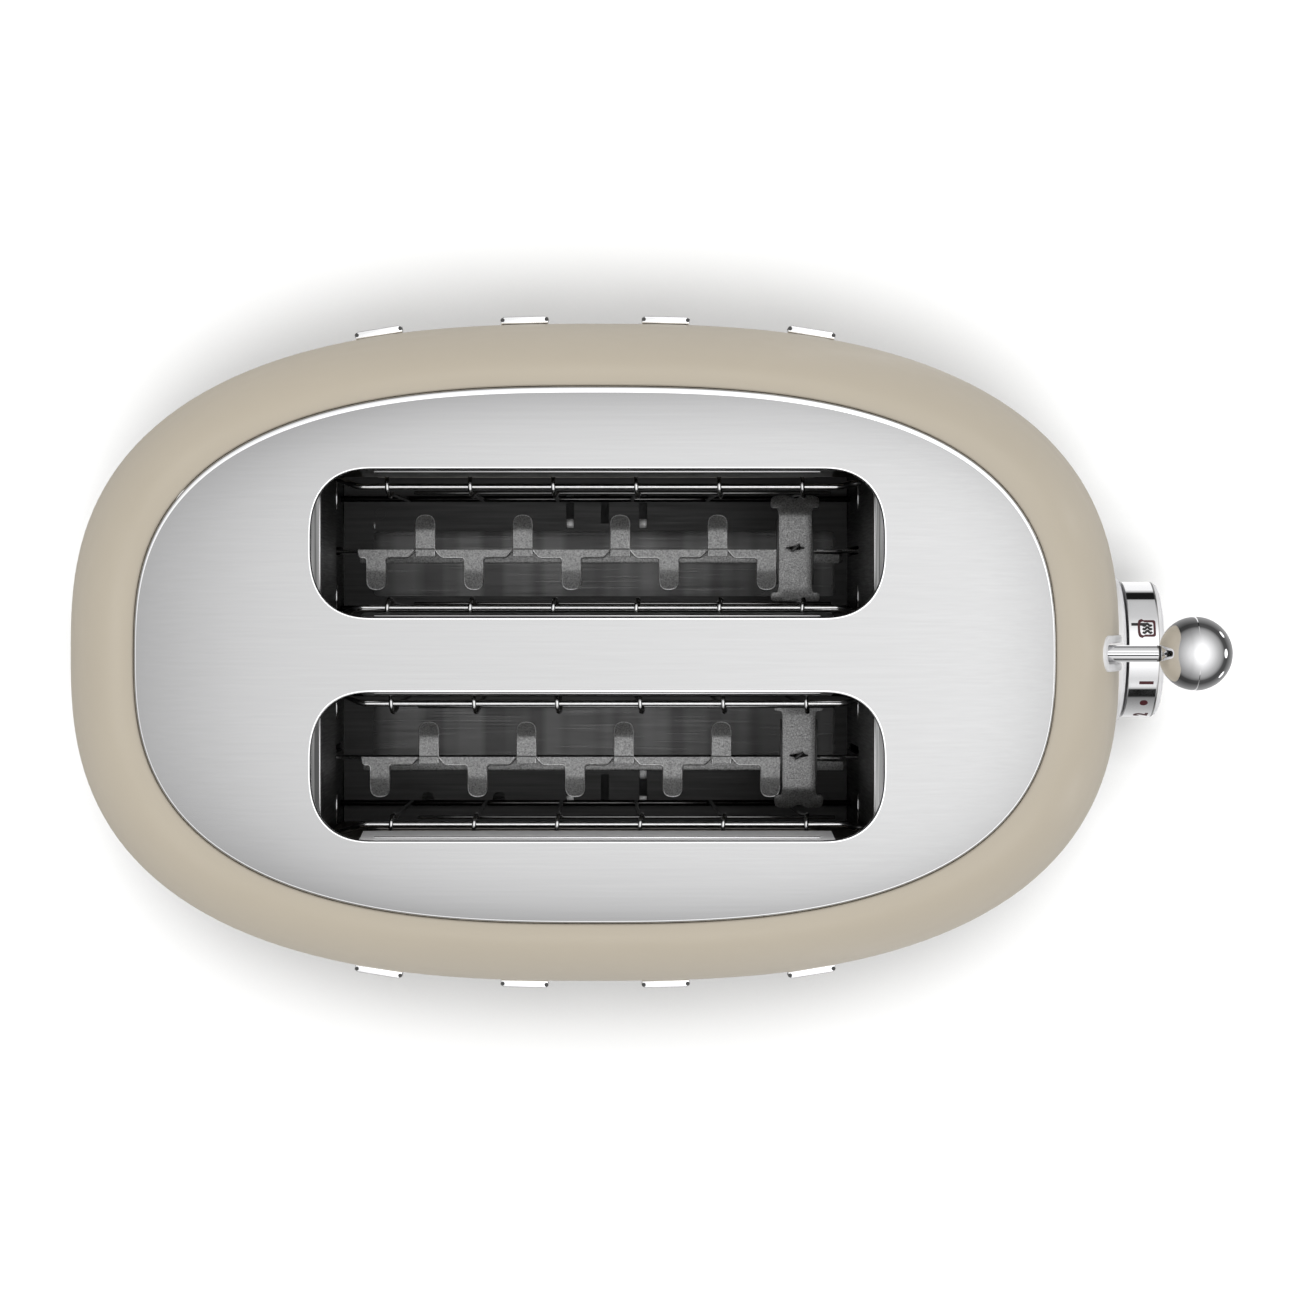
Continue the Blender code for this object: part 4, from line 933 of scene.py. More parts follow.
def make_side_bars():
    """Plain bright bars on the long sides, with bevelled ends."""
    half_length, half_height = 0.007, 0.0026
    pins = []
    for side, side_name in ((1, "left"), (-1, "right")):
        for number in range(1, 5):
            node = f"side_bar_{side_name}_{number}"
            centre = middle_of(node)
            half_x, half_y = shell_section(centre.z)
            across = abs(centre.x - MIDDLE_X)
            y = half_y * (1 - (across / half_x) ** SIDE_POWER) ** (1 / SIDE_POWER)
            power = SIDE_POWER - 1
            slope = half_y / half_x * (across / half_x) ** power / (y / half_y) ** power
            turn = Matrix.Rotation(-math.atan(math.copysign(slope, centre.x - MIDDLE_X)), 3, "Z")
            profile = [
                (-half_length, 0.0001),
                (half_length, 0.0001),
                (half_length, 0.0016),
                (half_length - 0.0009, 0.0022),
                (-half_length + 0.0009, 0.0022),
                (-half_length, 0.0016),
            ]
            points, faces = prism(profile, "Z", -half_height, half_height)
            placed = [turn @ p + Vector((centre.x, y, centre.z)) for p in points]
            mesh = (placed, faces)
            bar = add_object(f"bright_bar_{side_name}_{number}", *(mesh if side > 0 else mirrored_y(mesh)))
            bevelled(bar, 0.0002, 3)
            show(bar, "body", POLISHED, "chrome", node, smooth=40)
            pins += bar_pins(turn, centre, y, side, half_length - 0.0005, half_height)
    show_all("bar_end_pins", pins, "body", CHASSIS, "chassis_steel")


def bar_pins(turn, centre, y, side, reach, half_height):
    """Two dark pins that close a bar's ends."""
    pins = []
    for end in (-1, 1):
        outline = circle(end * reach, 0.0013, 0.0006, 16)
        points, faces = prism(outline, "Z", -half_height, half_height + 0.0001)
        pin = ([turn @ p + Vector((centre.x, y, centre.z)) for p in points], faces)
        pins.append(pin if side > 0 else mirrored_y(pin))
    return pins


# ---- Lever and dial ------------------------------------------------------------------------------------


ROD_RADIUS = 0.0024
BALL_SHIFT = 0.0003
BALL_GROWTH = 0.00015
# Places and half widths of two black strips along the rod's top: painted reflections in the chrome.
ROD_PAINTED_REFLECTIONS = ((0.0002, 0.00011), (-0.0005, 0.00018))


def make_lever_slot_rim():
    """A bright frame round the lever's slot that follows the shell's curve."""
    inner = ROD_RADIUS + 0.0005 - LEVER_SLOT_HALF
    section = [
        (RIM_WIDTH, -0.0006),
        (RIM_WIDTH, 0.0003),
        (RIM_WIDTH - 0.0004, 0.00075),
        (inner + 0.0003, 0.00075),
        (inner, 0.0003),
        (inner, -0.0034),
        (inner + 0.0006, -0.0034),
        (0.0009, -0.0006),
    ]
    rings = []
    for grow, proud in fillet(section, 0.0003, 3):
        rings.append([(MIDDLE_X + shell_section(z)[0] + proud, y, z) for y, z in racetrack(grow)])
    rim = add_object("lever_slot_frame", *loft(rings, closed=True))
    show(rim, "body", SILVER, "chrome", "lever_slot_rim")


def make_lever():
    arm_low, arm_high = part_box("lever_arm")
    radius = ROD_RADIUS
    ball_x, ball_radius = BALL_X - BALL_SHIFT, BALL_RADIUS + BALL_GROWTH
    ball_back = ball_x - ball_radius
    rod_end = ball_back - 0.0001
    profile = [(arm_low.x, 0.0), (arm_low.x, radius), (arm_low.x + 0.0006, radius)]
    profile += [(rod_end - 0.0005, radius), (rod_end, radius), (rod_end, 0.0)]
    radii = [0, 0.0003, 0, 0, 0.0003, 0]
    arm = add_object("lever_rod", *turned(fillet(profile, radii, 4, closed=False), LEVER_Z, 64))
    show(arm, "carriage", CHROME, "chrome", "lever_arm")

    neck_end = ball_back + 0.0006
    neck = [(rod_end, 0.0), (rod_end, 0.0023), (neck_end, 0.0023)]
    neck += [(neck_end, 0.0016), (arm_high.x, 0.0012), (arm_high.x, 0.0)]
    lines = [turned(neck, LEVER_Z, 48)]
    # Two thin black strips along the rod's top are painted reflections.
    for y, half in ROD_PAINTED_REFLECTIONS:
        top = LEVER_Z + math.sqrt(radius**2 - y**2)
        reflection_low = (arm_low.x + 0.001, y - half, top - 0.0003)
        lines.append(block(reflection_low, (rod_end - 0.0002, y + half, top + 0.00003)))
    show_all("lever_neck_and_painted_reflections", lines, "carriage", BLACK, "chrome")

    bore = 0.0019
    start = math.asin(bore / ball_radius)
    arc = [start + (math.pi - start) * i / 56 for i in range(57)]
    profile = [(ball_x - 0.0032, 0.0), (ball_x - 0.0032, bore)]
    profile += [(ball_x - ball_radius * math.cos(a), ball_radius * math.sin(a)) for a in arc[:-1]]
    profile.append((ball_x + ball_radius, 0.0))
    ball = add_object("ball_knob", *turned(profile, LEVER_Z, 112))
    show(ball, "carriage", BALL_CHROME, "chrome", "lever_ball")


def on_dial(points, thickness, faces, at_angle):
    """Wraps a flat mark round the dial's rim. Its x runs along the dial's axis, its y round the rim."""
    wrapped = []
    for x, y, lift in points:
        angle = at_angle + y / DIAL_RADIUS
        radius = DIAL_RADIUS + 0.00001 + thickness * lift
        wrapped.append((x, -radius * math.sin(angle), DIAL_Z + radius * math.cos(angle)))
    return wrapped, faces


def flat_mark(outline, holes=()):
    """A thin closed plate of a mark: (x, y, 0 or 1 for its lower or upper face)."""
    flat, faces = sheet_fill(densified(outline), [densified(hole) for hole in holes])
    count = len(flat)
    points = [(p.x, p.y, 0) for p in flat] + [(p.x, p.y, 1) for p in flat]
    both = [face[::-1] for face in faces] + [[count + i for i in face] for face in faces]
    edges = {edge: True for face in faces for edge in zip(face, face[1:] + face[:1])}
    for one, two in edges:
        if (two, one) not in edges:
            both.append([one, two, count + two, count + one])
    return points, both


def densified(outline, step=0.0004):
    """The same outline with no edge longer than a step, so that it can bend."""
    points = []
    for i, end in enumerate(outline):
        start = Vector(outline[i - 1][:2])
        end = Vector(end[:2])
        count = max(1, math.ceil((end - start).length / step))
        points += [start + (end - start) * k / count for k in range(1, count + 1)]
    return points


def stroke(path, width):
    """The outline of a line of even width along a path of (x, y) points."""
    left, right = [], []
    for i, point in enumerate(path):
        before = Vector(path[max(i - 1, 0)])
        after = Vector(path[min(i + 1, len(path) - 1)])
        along = (after - before).normalized()
        side = Vector((-along.y, along.x)) * width / 2
        left.append(Vector(point) + side)
        right.append(Vector(point) - side)
    return left + right[::-1]


def toast_outline(r):
    """A slice of bread about 2 r wide, its rounded crust towards -x."""
    crust = [(-0.40 * r, r), (-0.52 * r, 1.16 * r), (-0.92 * r, 1.04 * r), (-1.06 * r, 0.60 * r)]
    points = [(r, -r), (r, r), *crust, *[(x, -y) for x, y in reversed(crust)]]
    return fillet(points, 0.28 * r, 3)


def digit_mesh(text, height):
    """A digit as a flat plate, its top towards -x and reading along -y."""
    curve = bpy.data.curves.new("digit", "FONT")
    curve.body = text
    curve.size = height / 0.7
    curve.align_x = "CENTER"
    curve.extrude = 0.5
    curve.offset = 0.00022
    curve.resolution_u = 6
    made = bpy.data.objects.new("digit", curve)
    bpy.context.scene.collection.objects.link(made)
    mesh = bpy.data.meshes.new_from_object(made.evaluated_get(bpy.context.evaluated_depsgraph_get()))
    points = [(-v.co.y + height / 2, -v.co.x, 1 if v.co.z > 0 else 0) for v in mesh.vertices]
    faces = [list(p.vertices) for p in mesh.polygons]
    bpy.data.objects.remove(made)
    return points, faces


def dial_ring(name, section, radii, steps=5):
    """A closed section of (x, radius) turned about the dial's axis into a ring-shaped piece."""
    rings = fillet(section, radii, steps)
    obj = add_object(name, *turned([*rings, rings[0]], DIAL_Z, 144))
    add_modifier(obj, "WELD", merge_threshold=0.000001)
    return settle(obj)


def make_dial():
    """The dial with its satin front edge and marks, the collar behind it and the stop button's cap."""
    profile = [
        (DIAL_LOW.x + 0.0004, 0.0033),
        (DIAL_LOW.x + 0.0004, DIAL_RADIUS),
        (DIAL_LOW.x + 0.0007, DIAL_RADIUS),
        (DIAL_HIGH.x - 0.0024, DIAL_RADIUS),
        (DIAL_HIGH.x - 0.0020, DIAL_RADIUS),
        (DIAL_HIGH.x - 0.0004, DIAL_RADIUS - 0.0010),
        (DIAL_HIGH.x, DIAL_RADIUS - 0.0026),
        (DIAL_HIGH.x - 0.0012, 0.0125),
        (DIAL_HIGH.x - 0.0006, 0.0108),
        (DIAL_HIGH.x - 0.0006, 0.0094),
        (DIAL_HIGH.x - 0.0050, 0.0094),
        (DIAL_HIGH.x - 0.0050, 0.0012),
        (DIAL_LOW.x + 0.0036, 0.0012),
        (DIAL_LOW.x + 0.0036, 0.0033),
    ]
    radii = [0.0002, 0.0002, 0, 0, 0.0008, 0.0012, 0.0008, 0.001, 0.0004, 0.0004, 0.0002, 0, 0, 0]
    dial = dial_ring("dial_knob", profile, radii)
    show(dial, "dial", CHROME, "chrome", "browning_dial", smooth=30)
    make_dial_marks()
    profile = [
        (DIAL_HIGH.x - 0.0017, DIAL_RADIUS - 0.0004),
        (DIAL_HIGH.x - 0.0018, DIAL_RADIUS + 0.00004),
        (DIAL_HIGH.x - 0.00036, DIAL_RADIUS - 0.00094),
        (DIAL_HIGH.x + 0.00004, DIAL_RADIUS - 0.0026),
        (DIAL_HIGH.x - 0.0006, DIAL_RADIUS - 0.0026),
    ]
    edge = dial_ring("dial_front_edge", profile, [0, 0.00005, 0.0012, 0.0003, 0], 6)
    show(edge, "dial", SILVER, "chrome", smooth=30)

    back, front = COLLAR_LOW.x, COLLAR_HIGH.x + 0.0003
    radius = COLLAR_HIGH.z - DIAL_Z
    profile = [
        (back, radius),
        (front - 0.0012, radius),
        (front - 0.0002, radius - 0.0012),
        (front, 0.0210),
        (front - 0.0006, 0.0190),
        (front - 0.0006, 0.0038),
        (front - 0.0020, 0.0038),
        (front - 0.0020, radius - 0.0020),
        (back, radius - 0.0020),
    ]
    collar = dial_ring("dial_ring", profile, [0, 0.0006, 0.0006, 0.0004, 0.0003, 0, 0, 0, 0])
    show(collar, "body", SILVER, "chrome", "dial_collar", smooth=30)

    low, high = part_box("stop_button")
    radius = (high.z - low.z) / 2
    profile = [(low.x, 0.0), (low.x, radius), (high.x - 0.0003, radius), (high.x, radius - 0.0012)]
    profile += [(high.x - 0.0008, 0.0030), (high.x - 0.0010, 0.0)]
    button = add_object("stop_cap", *turned(fillet(profile, 0.0007, 5, closed=False), DIAL_Z, 96))
    show(button, "stop_button", BLACK, "black_plastic", "stop_button")


PICTURE_ANGLE = math.radians(-18.5)
FIRST_NUMBER_ANGLE = math.radians(28.7)
MARK_STEP = math.radians(45)


def make_dial_marks():
    """Numbers, dots between them and two small pictures, printed round the dial's rim."""
    middle = (DIAL_LOW.x + DIAL_HIGH.x) / 2 + 0.0002
    maroon, ink = [], []

    def place(mark, angle, x, into):
        points, faces = mark
        into.append(on_dial([(px + x, py, lift) for px, py, lift in points], 0.00006, faces, angle))

    for number in range(1, 7):
        angle = FIRST_NUMBER_ANGLE + (number - 1) * MARK_STEP
        place(digit_mesh(str(number), 0.0041), angle, middle, maroon)
        if number < 6:
            dot = [(0.00125 * math.cos(a), 0.00125 * math.sin(a)) for a in steps_round(24)]
            place(flat_mark(dot), angle + MARK_STEP / 2, middle, maroon)
    half = 0.0027
    other_angle = PICTURE_ANGLE - 2 * MARK_STEP
    for angle in (PICTURE_ANGLE, other_angle):
        place(flat_mark(toast_outline(half), [toast_outline(half - 0.0007)]), angle, middle, maroon)
    for offset in (-0.00115, 0.0, 0.00115):
        steps = [k / 20 for k in range(21)]
        wave = [(-0.0013 + 0.0028 * t, offset + 0.00036 * math.sin(3 * math.pi * t)) for t in steps]
        place(flat_mark(stroke(wave, 0.00072)), PICTURE_ANGLE, middle, ink)
    pointer = [(-0.0048, -0.0013), (-0.0004, -0.0013)]
    place(flat_mark(stroke(pointer, 0.0009)), PICTURE_ANGLE, middle, ink)
    for arm in range(3):
        a = math.pi * arm / 3
        spoke = [(0.0015 * math.cos(a) * s, 0.0015 * math.sin(a) * s) for s in (-1, 1)]
        place(flat_mark(stroke(spoke, 0.0004)), other_angle, middle, ink)
    for name, parts, material in (("maroon", maroon, MAROON), ("black", ink, INK)):
        marks = add_object(f"dial_marks_{name}", *merge(*parts), smooth=0)
        show(marks, "dial", material, "black_plastic")


def steps_round(count):
    return [2 * math.pi * i / count for i in range(count)]


# ---- Toasting chamber ----------------------------------------------------------------------------------


SIDE_SHIFT = {1: 0.0, -1: 0.0011}
WORKS_SHIFT_Y = -0.0006


GUARD_OFFSET = 0.0173
GUARD_TOP = 0.165
GUARD_MIDDLE = 0.150
GUARD_BOTTOM = 0.048
GUARD_WIRE = 0.0009
GUARD_BAR = 0.0008
GUARD_BAR_PITCH = 0.0236
GUARD_HOLE = 0.0014


def guard_places():
    """Each guard's name, its place along Y, the way to its slot's wall and its side of the toaster."""
    return [
        ("left_outer", SLOT_CENTRE + GUARD_OFFSET, 1, 1),
        ("left_inner", SLOT_CENTRE - GUARD_OFFSET, -1, 1),
        ("right_inner", -SLOT_CENTRE + GUARD_OFFSET, 1, -1),
        ("right_outer", -SLOT_CENTRE - GUARD_OFFSET, -1, -1),
    ]


def make_guards():
    """Wire fences: a top wire with bent ends, two lower wires, and six bars hooked over the top wire; the
    lower wires and the bars' tails take a darker copy of the wire as painted shade.
    """
    top, bottom = GUARD_TOP, GUARD_BOTTOM
    for name, y, out, side in guard_places():
        low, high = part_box(f"guard_{name}")
        y += WORKS_SHIFT_Y
        middle = MIDDLE_X + SIDE_SHIFT[side]
        top_path = [
            (-0.0748, y + out * 0.0030, top - 0.0100),
            (-0.0705, y + out * 0.0012, top - 0.0034),
            (-0.0673, y, top),
            (0.0700, y, top),
            (0.0728, y + out * 0.0010, top - 0.0024),
            (0.0756, y + out * 0.0012, top - 0.0026),
        ]
        path = fillet([(middle + px, py, pz) for px, py, pz in top_path], 0.0016, 6, closed=False)
        bright = [tube(path, GUARD_WIRE)]
        # Wires listed as dark take the darker wire copy: painted shade.
        dark = [tube([(low.x + 0.0003, y, bottom), (high.x - 0.0003, y, bottom)], GUARD_WIRE)]
        lower_y = y - out * 0.0013
        lower_ends = [(middle + x, lower_y, GUARD_MIDDLE) for x in (-0.0520, 0.068)]
        dark.append(tube(lower_ends, 0.0005))
        for number in range(6):
            x = middle + (number - 2.5) * GUARD_BAR_PITCH
            hook = [
                (x - 0.0001, y + out * 0.0031, top + 0.0004),
                (x - 0.0001, y + out * 0.0014, top + 0.0013),
                (x, y - out * 0.0010, top + 0.0013),
                (x + 0.0003, y - out * 0.0024, top - 0.0012),
            ]
            bright.append(tube(fillet(hook, 0.0009, 5, closed=False), GUARD_BAR * 0.8, 10))
            tail = [
                (x + 0.0003, y - out * 0.0023, top - 0.0009),
                (x + 0.0006, y - out * 0.0027, top - 0.0040),
                (x + 0.0009, y - out * 0.0018, top - 0.0100),
                (x, y - out * 0.0012, top - 0.0300),
                (x, y - out * 0.0003, bottom),
            ]
            dark.append(tube(fillet(tail, 0.0014, 6, closed=False), GUARD_BAR * 0.85, 10))
        guard = add_object(f"wire_guard_{name}", *merge(*bright), smooth=60)
        show(guard, f"guard_{name}", WIRE, "guard_wire", f"guard_{name}")
        lower = add_object(f"wires_painted_shade_{name}", *merge(*dark), smooth=60)
        show(lower, f"guard_{name}", WIRE_PAINTED_SHADE, "guard_wire")


FINGER_FIRST = -0.0650
FINGER_PITCH = 0.029
FINGER_HALF = 0.0028
NOTCH_HALF = 0.0049
TAB_EDGE = -0.0022
TAB_SLANT = 0.0020
MINUS_TIP = -0.0117
MINUS_BEND = -0.0060
PLUS_TIP = 0.0104
PLUS_BEND = 0.0061
PLUS_SLOPE = math.tan(math.radians(18))
MINUS_SLOPE = math.tan(math.radians(11))


def make_rail(side, name):
    """An upright web with tongues, tabs with fingers on one side and more fingers on the other."""
    middle, y = MIDDLE_X + SIDE_SHIFT[side], side * SLOT_CENTRE + WORKS_SHIFT_Y
    step = END_PLATE_X - 0.0025
    low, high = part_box(f"bread_rail_{name}")
    rear, front = low.x - MIDDLE_X, high.x - MIDDLE_X
    tongue_low, tongue_high = RAIL_BOTTOM + 0.002, RAIL_BOTTOM + 0.011
    outline = [
        (rear, tongue_low),
        (-step, tongue_low),
        (-step + 0.0025, RAIL_BOTTOM),
        (step - 0.0025, RAIL_BOTTOM),
        (step, tongue_low),
        (front, tongue_low),
        (front, tongue_high),
        (step, tongue_high),
        (step - 0.0060, RAIL_TOP - 0.0009),
        (-0.0700, RAIL_TOP - 0.0009),
        (-step + 0.001, tongue_high),
        (rear, tongue_high),
    ]
    radii = [0.0006, 0.001, 0.001, 0.001, 0.001, 0.0006, 0.0006, 0.001, 0.001, 0.001, 0.001, 0.0006]
    outline = [(middle + u, v) for u, v in fillet(outline, radii, 4)]
    web = prism(outline, "Y", y + 0.0001 - SHEET, y + 0.0001)
    foot_low = (middle - 0.062, y - 0.0034, RAIL_BOTTOM + 0.0003)
    foot = block(foot_low, (middle + 0.0745, y - 0.0006, RAIL_BOTTOM + 0.0011))
    # The web, foot and ledge take the darker zinc copy: painted shade.
    frame_part = add_object(f"rail_web_{name}", *merge(web, foot, rail_ledge(middle, y)), smooth=0)
    bevelled(frame_part, 0.00022, 2, 50)
    show(frame_part, "carriage", ZINC_PAINTED_SHADE, "carriage_steel", smooth=40)

    plus = [FINGER_FIRST + (i + 0.5) * FINGER_PITCH for i in range(4)]
    minus = [FINGER_FIRST + i * FINGER_PITCH for i in range(5)]
    starts = [-0.0700] + [x + NOTCH_HALF for x in plus]
    ends = [x - NOTCH_HALF for x in plus] + [0.0541]
    # The beads along the front line and along the sheets' outlines carry painted highlights.
    front_line = [(middle + 0.066, y, RAIL_TOP - 0.0008), (middle + 0.0785, y, RAIL_TOP - 0.0030)]
    edges = [tube(front_line, 0.0002, 8)]
    sheets = []
    for x, start, end in zip(minus, starts, ends):
        first, last = start == starts[0], end == ends[-1]
        outline = [
            (start - (0.0004 if first else TAB_SLANT), 0.0001),
            (start, TAB_EDGE),
            (x - FINGER_HALF, TAB_EDGE),
            (x - FINGER_HALF, MINUS_TIP),
            (x + FINGER_HALF, MINUS_TIP),
            (x + FINGER_HALF, TAB_EDGE),
            (end, TAB_EDGE),
            (end + (0.0 if last else TAB_SLANT), 0.0001),
        ]
        outline = fillet(outline, [0.0003, 0.0008, 0.0011, 0.0027, 0.0027, 0.0011, 0.0008, 0.0003], 5)
        sheets.append(bent_sheet(outline, middle, y, RAIL_TOP, MINUS_BEND))
        edges.append(edge_line(outline, middle, y, RAIL_TOP, MINUS_BEND))
    painted_shade_strips = []
    for x in plus:
        root = TAB_EDGE + 0.0004
        left, right = x - FINGER_HALF, x + FINGER_HALF
        outline = [(right, root), (right, PLUS_TIP), (left, PLUS_TIP), (left, root)]
        outline = fillet(outline, [0.0002, 0.0027, 0.0027, 0.0002], 5)
        sheets.append(bent_sheet(outline, middle, y, RAIL_TOP - SHEET / 2, PLUS_BEND))
        edges.append(edge_line(outline, middle, y, RAIL_TOP - SHEET / 2, PLUS_BEND))
        # A thin dark strip over each finger's root: painted shade where the finger meets the web.
        shade_strip_low = (middle + left, y + 0.0001, RAIL_TOP - SHEET / 2)
        shade_strip_high = (middle + right, y + 0.0005, RAIL_TOP - SHEET / 2 + 0.00004)
        painted_shade_strips.append(block(shade_strip_low, shade_strip_high))
    rail = add_object(f"finger_rail_{name}", *merge(*sheets), smooth=0)
    add_modifier(rail, "SOLIDIFY", thickness=SHEET * 0.6, offset=-1)
    settle(rail)
    show(rail, "carriage", ZINC, "carriage_steel", f"bread_rail_{name}", smooth=40)
    edge = add_object(f"rail_edge_highlights_{name}", *merge(*edges), smooth=60)
    show(edge, "carriage", ZINC_PAINTED_HIGHLIGHT, "carriage_steel")
    painted_shade_strip = add_object(f"rail_painted_shade_strips_{name}", *merge(*painted_shade_strips), smooth=0)
    show(painted_shade_strip, "carriage", CHASSIS, "carriage_steel")


def bent_height(v, top, bend):
    """Height of a sheet that is level up to a bend, on either side of the web, and slopes down past it."""
    past = (v - bend) * math.copysign(1, bend)
    soften = 0.0006
    slope = PLUS_SLOPE if bend > 0 else MINUS_SLOPE
    return top - slope * (past + math.sqrt(past**2 + soften**2)) / 2


def bent_sheet(outline, middle, y, top, bend):
    """The upper face of a sheet with an outline of (x, y) points about the web, bent down past a line."""
    loop = [(p[0], p[1]) for p in densified(outline, 0.0010)]
    xs = [p[0] for p in loop if (p[1] - bend) * bend > 0]
    x0, x1 = min(xs) + 0.0006, max(xs) - 0.0006
    rows = [bend + 0.0004 * k for k in range(-4, 5)]
    inner = [(x0 + (x1 - x0) * k / 3, row) for row in rows for k in range(4)]
    flat, faces = sheet_fill(loop, (), inner)
    return [(middle + p.x, y + p.y, bent_height(p.y, top, bend)) for p in flat], faces


def edge_line(outline, middle, y, top, bend):
    """A fine bead along an outline, left open between its last point and its first; the rail gives it a
    painted highlight.
    """
    path = [(middle + p[0], y + p[1], bent_height(p[1], top, bend) - 0.0001) for p in outline]
    return tube(path, 0.0002, 6)


def rail_ledge(middle, y):
    """The flat ledge a sheet lower than the tabs."""
    top = RAIL_TOP - SHEET
    outline = [(-0.0700, y - 0.0039), (0.0729, y - 0.0039), (0.0729, y - 0.0012), (0.0541, y - 0.0006)]
    outline.append((-0.0700, y - 0.0006))
    outline = fillet([(middle + u, v) for u, v in outline], 0.0007, 4)
    return prism(outline, "Z", top - SHEET, top)


def make_spreader(side, name):
    """The plate across the rail, bent down all round, with a slit for the rail's twisted tab."""
    low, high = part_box(f"spreader_{name}")
    x0 = (low.x + high.x) / 2 + SIDE_SHIFT[side]
    y0 = side * SLOT_CENTRE
    half, waist, wide = (high.y - low.y) / 2, 0.0049, (high.x - low.x) / 2
    far = [
        (waist, half - 0.0062),
        (waist + 0.0003, half - 0.0040),
        (wide, half - 0.0038),
        (wide, half - 0.0004),
        (0.0026, half),
        (0.0006, half - 0.0010),
    ]
    far_radii = [0.0, 0.0005, 0.0014, 0.0016, 0.0012, 0.0010]
    near = [(waist, 0.0040 - half), (waist + 0.0003, 0.0026 - half), (wide, 0.0025 - half), (wide, -half)]
    near_radii = [0.0, 0.0005, 0.0008, 0.0010]
    outline = near[::-1] + far + [(-u, v) for u, v in reversed(far)] + [(-u, v) for u, v in near]
    radii = near_radii[::-1] + far_radii + far_radii[::-1] + near_radii
    loop = [(x0 + p.x, y0 + side * p.y) for p in fillet(outline, radii, 4)][::side]
    hole = [(x0 + 0.0028 * math.cos(a), y0 + 0.0005 * math.sin(a)) for a in steps_round(28)]
    lines = [half * (2 * k / 48 - 1) * 0.97 for k in range(49)]
    inner = [(x0 + u * waist * 0.5, y0 + v) for v in lines for u in (-1.2, -0.6, 0.6, 1.2)]
    flat, faces = sheet_fill(densified(loop, 0.0010), [hole], inner)

    def height(v):
        past_far, past_near = v - (half - 0.0058), 0.0034 - half - v
        soften = 0.0005
        bends = ((past_far, 0.36), (past_near, 0.14))
        return high.z - sum((p + math.sqrt(p**2 + soften**2)) / 2 * slope for p, slope in bends)

    points = [(p.x, p.y, height(side * (p.y - y0))) for p in flat]
    sheet = add_object(f"guard_spreader_{name}", points, faces, smooth=0)
    add_modifier(sheet, "SOLIDIFY", thickness=SHEET, offset=-1)
    settle(sheet)
    bevelled(sheet, 0.00015, 2, 50)
    show(sheet, "carriage", ZINC, "carriage_steel", f"spreader_{name}", smooth=40)

    # The bent-down flanges take the dark chassis steel, not the plate's zinc: painted shade along the
    # plate's sides.
    flanges = []
    for fore in (-1, 1):
        x_near, x_far = sorted((x0 + fore * (waist + 0.0001), x0 + fore * (waist + 0.0006)))
        y_near, y_far = sorted((y0 + side * (0.0050 - half), y0 + side * (half - 0.0075)))
        flanges.append(block((x_near, y_near, high.z - 0.0038), (x_far, y_far, high.z - 0.0006)))
    shaded_flange = add_object(f"spreader_flanges_painted_shade_{name}", *merge(*flanges))
    show(bevelled(shaded_flange, 0.0001, 2), "carriage", CHASSIS, "carriage_steel", smooth=40)

    stem = [(-0.0016, -SHEET / 2), (0.0016, -SHEET / 2), (0.0016, SHEET / 2), (-0.0016, SHEET / 2)]
    rings = []
    for k in range(9):
        share = k / 8
        turn = Matrix.Rotation(math.radians(38) * max(0, share - 0.35) / 0.65, 2)
        z = RAIL_TOP - 0.003 + 0.0065 * share
        rings.append([(x0 + q.x, y0 + q.y, z) for q in (turn @ Vector(p) for p in stem)])
    tab = add_object(f"twisted_tab_{name}", *loft(rings))
    bevelled(tab, 0.00015, 2)
    show(tab, "carriage", CHASSIS, "carriage_steel", smooth=40)


END_LEDGES = (
    (-0.0155, -0.0085, 0.112),
    (-0.0075, -0.0035, 0.104),
    (0.0035, 0.0080, 0.104),
    (0.0090, 0.0160, 0.112),
)


SLIT_HALF = 0.0013
SLIT_CROSS = 0.0042


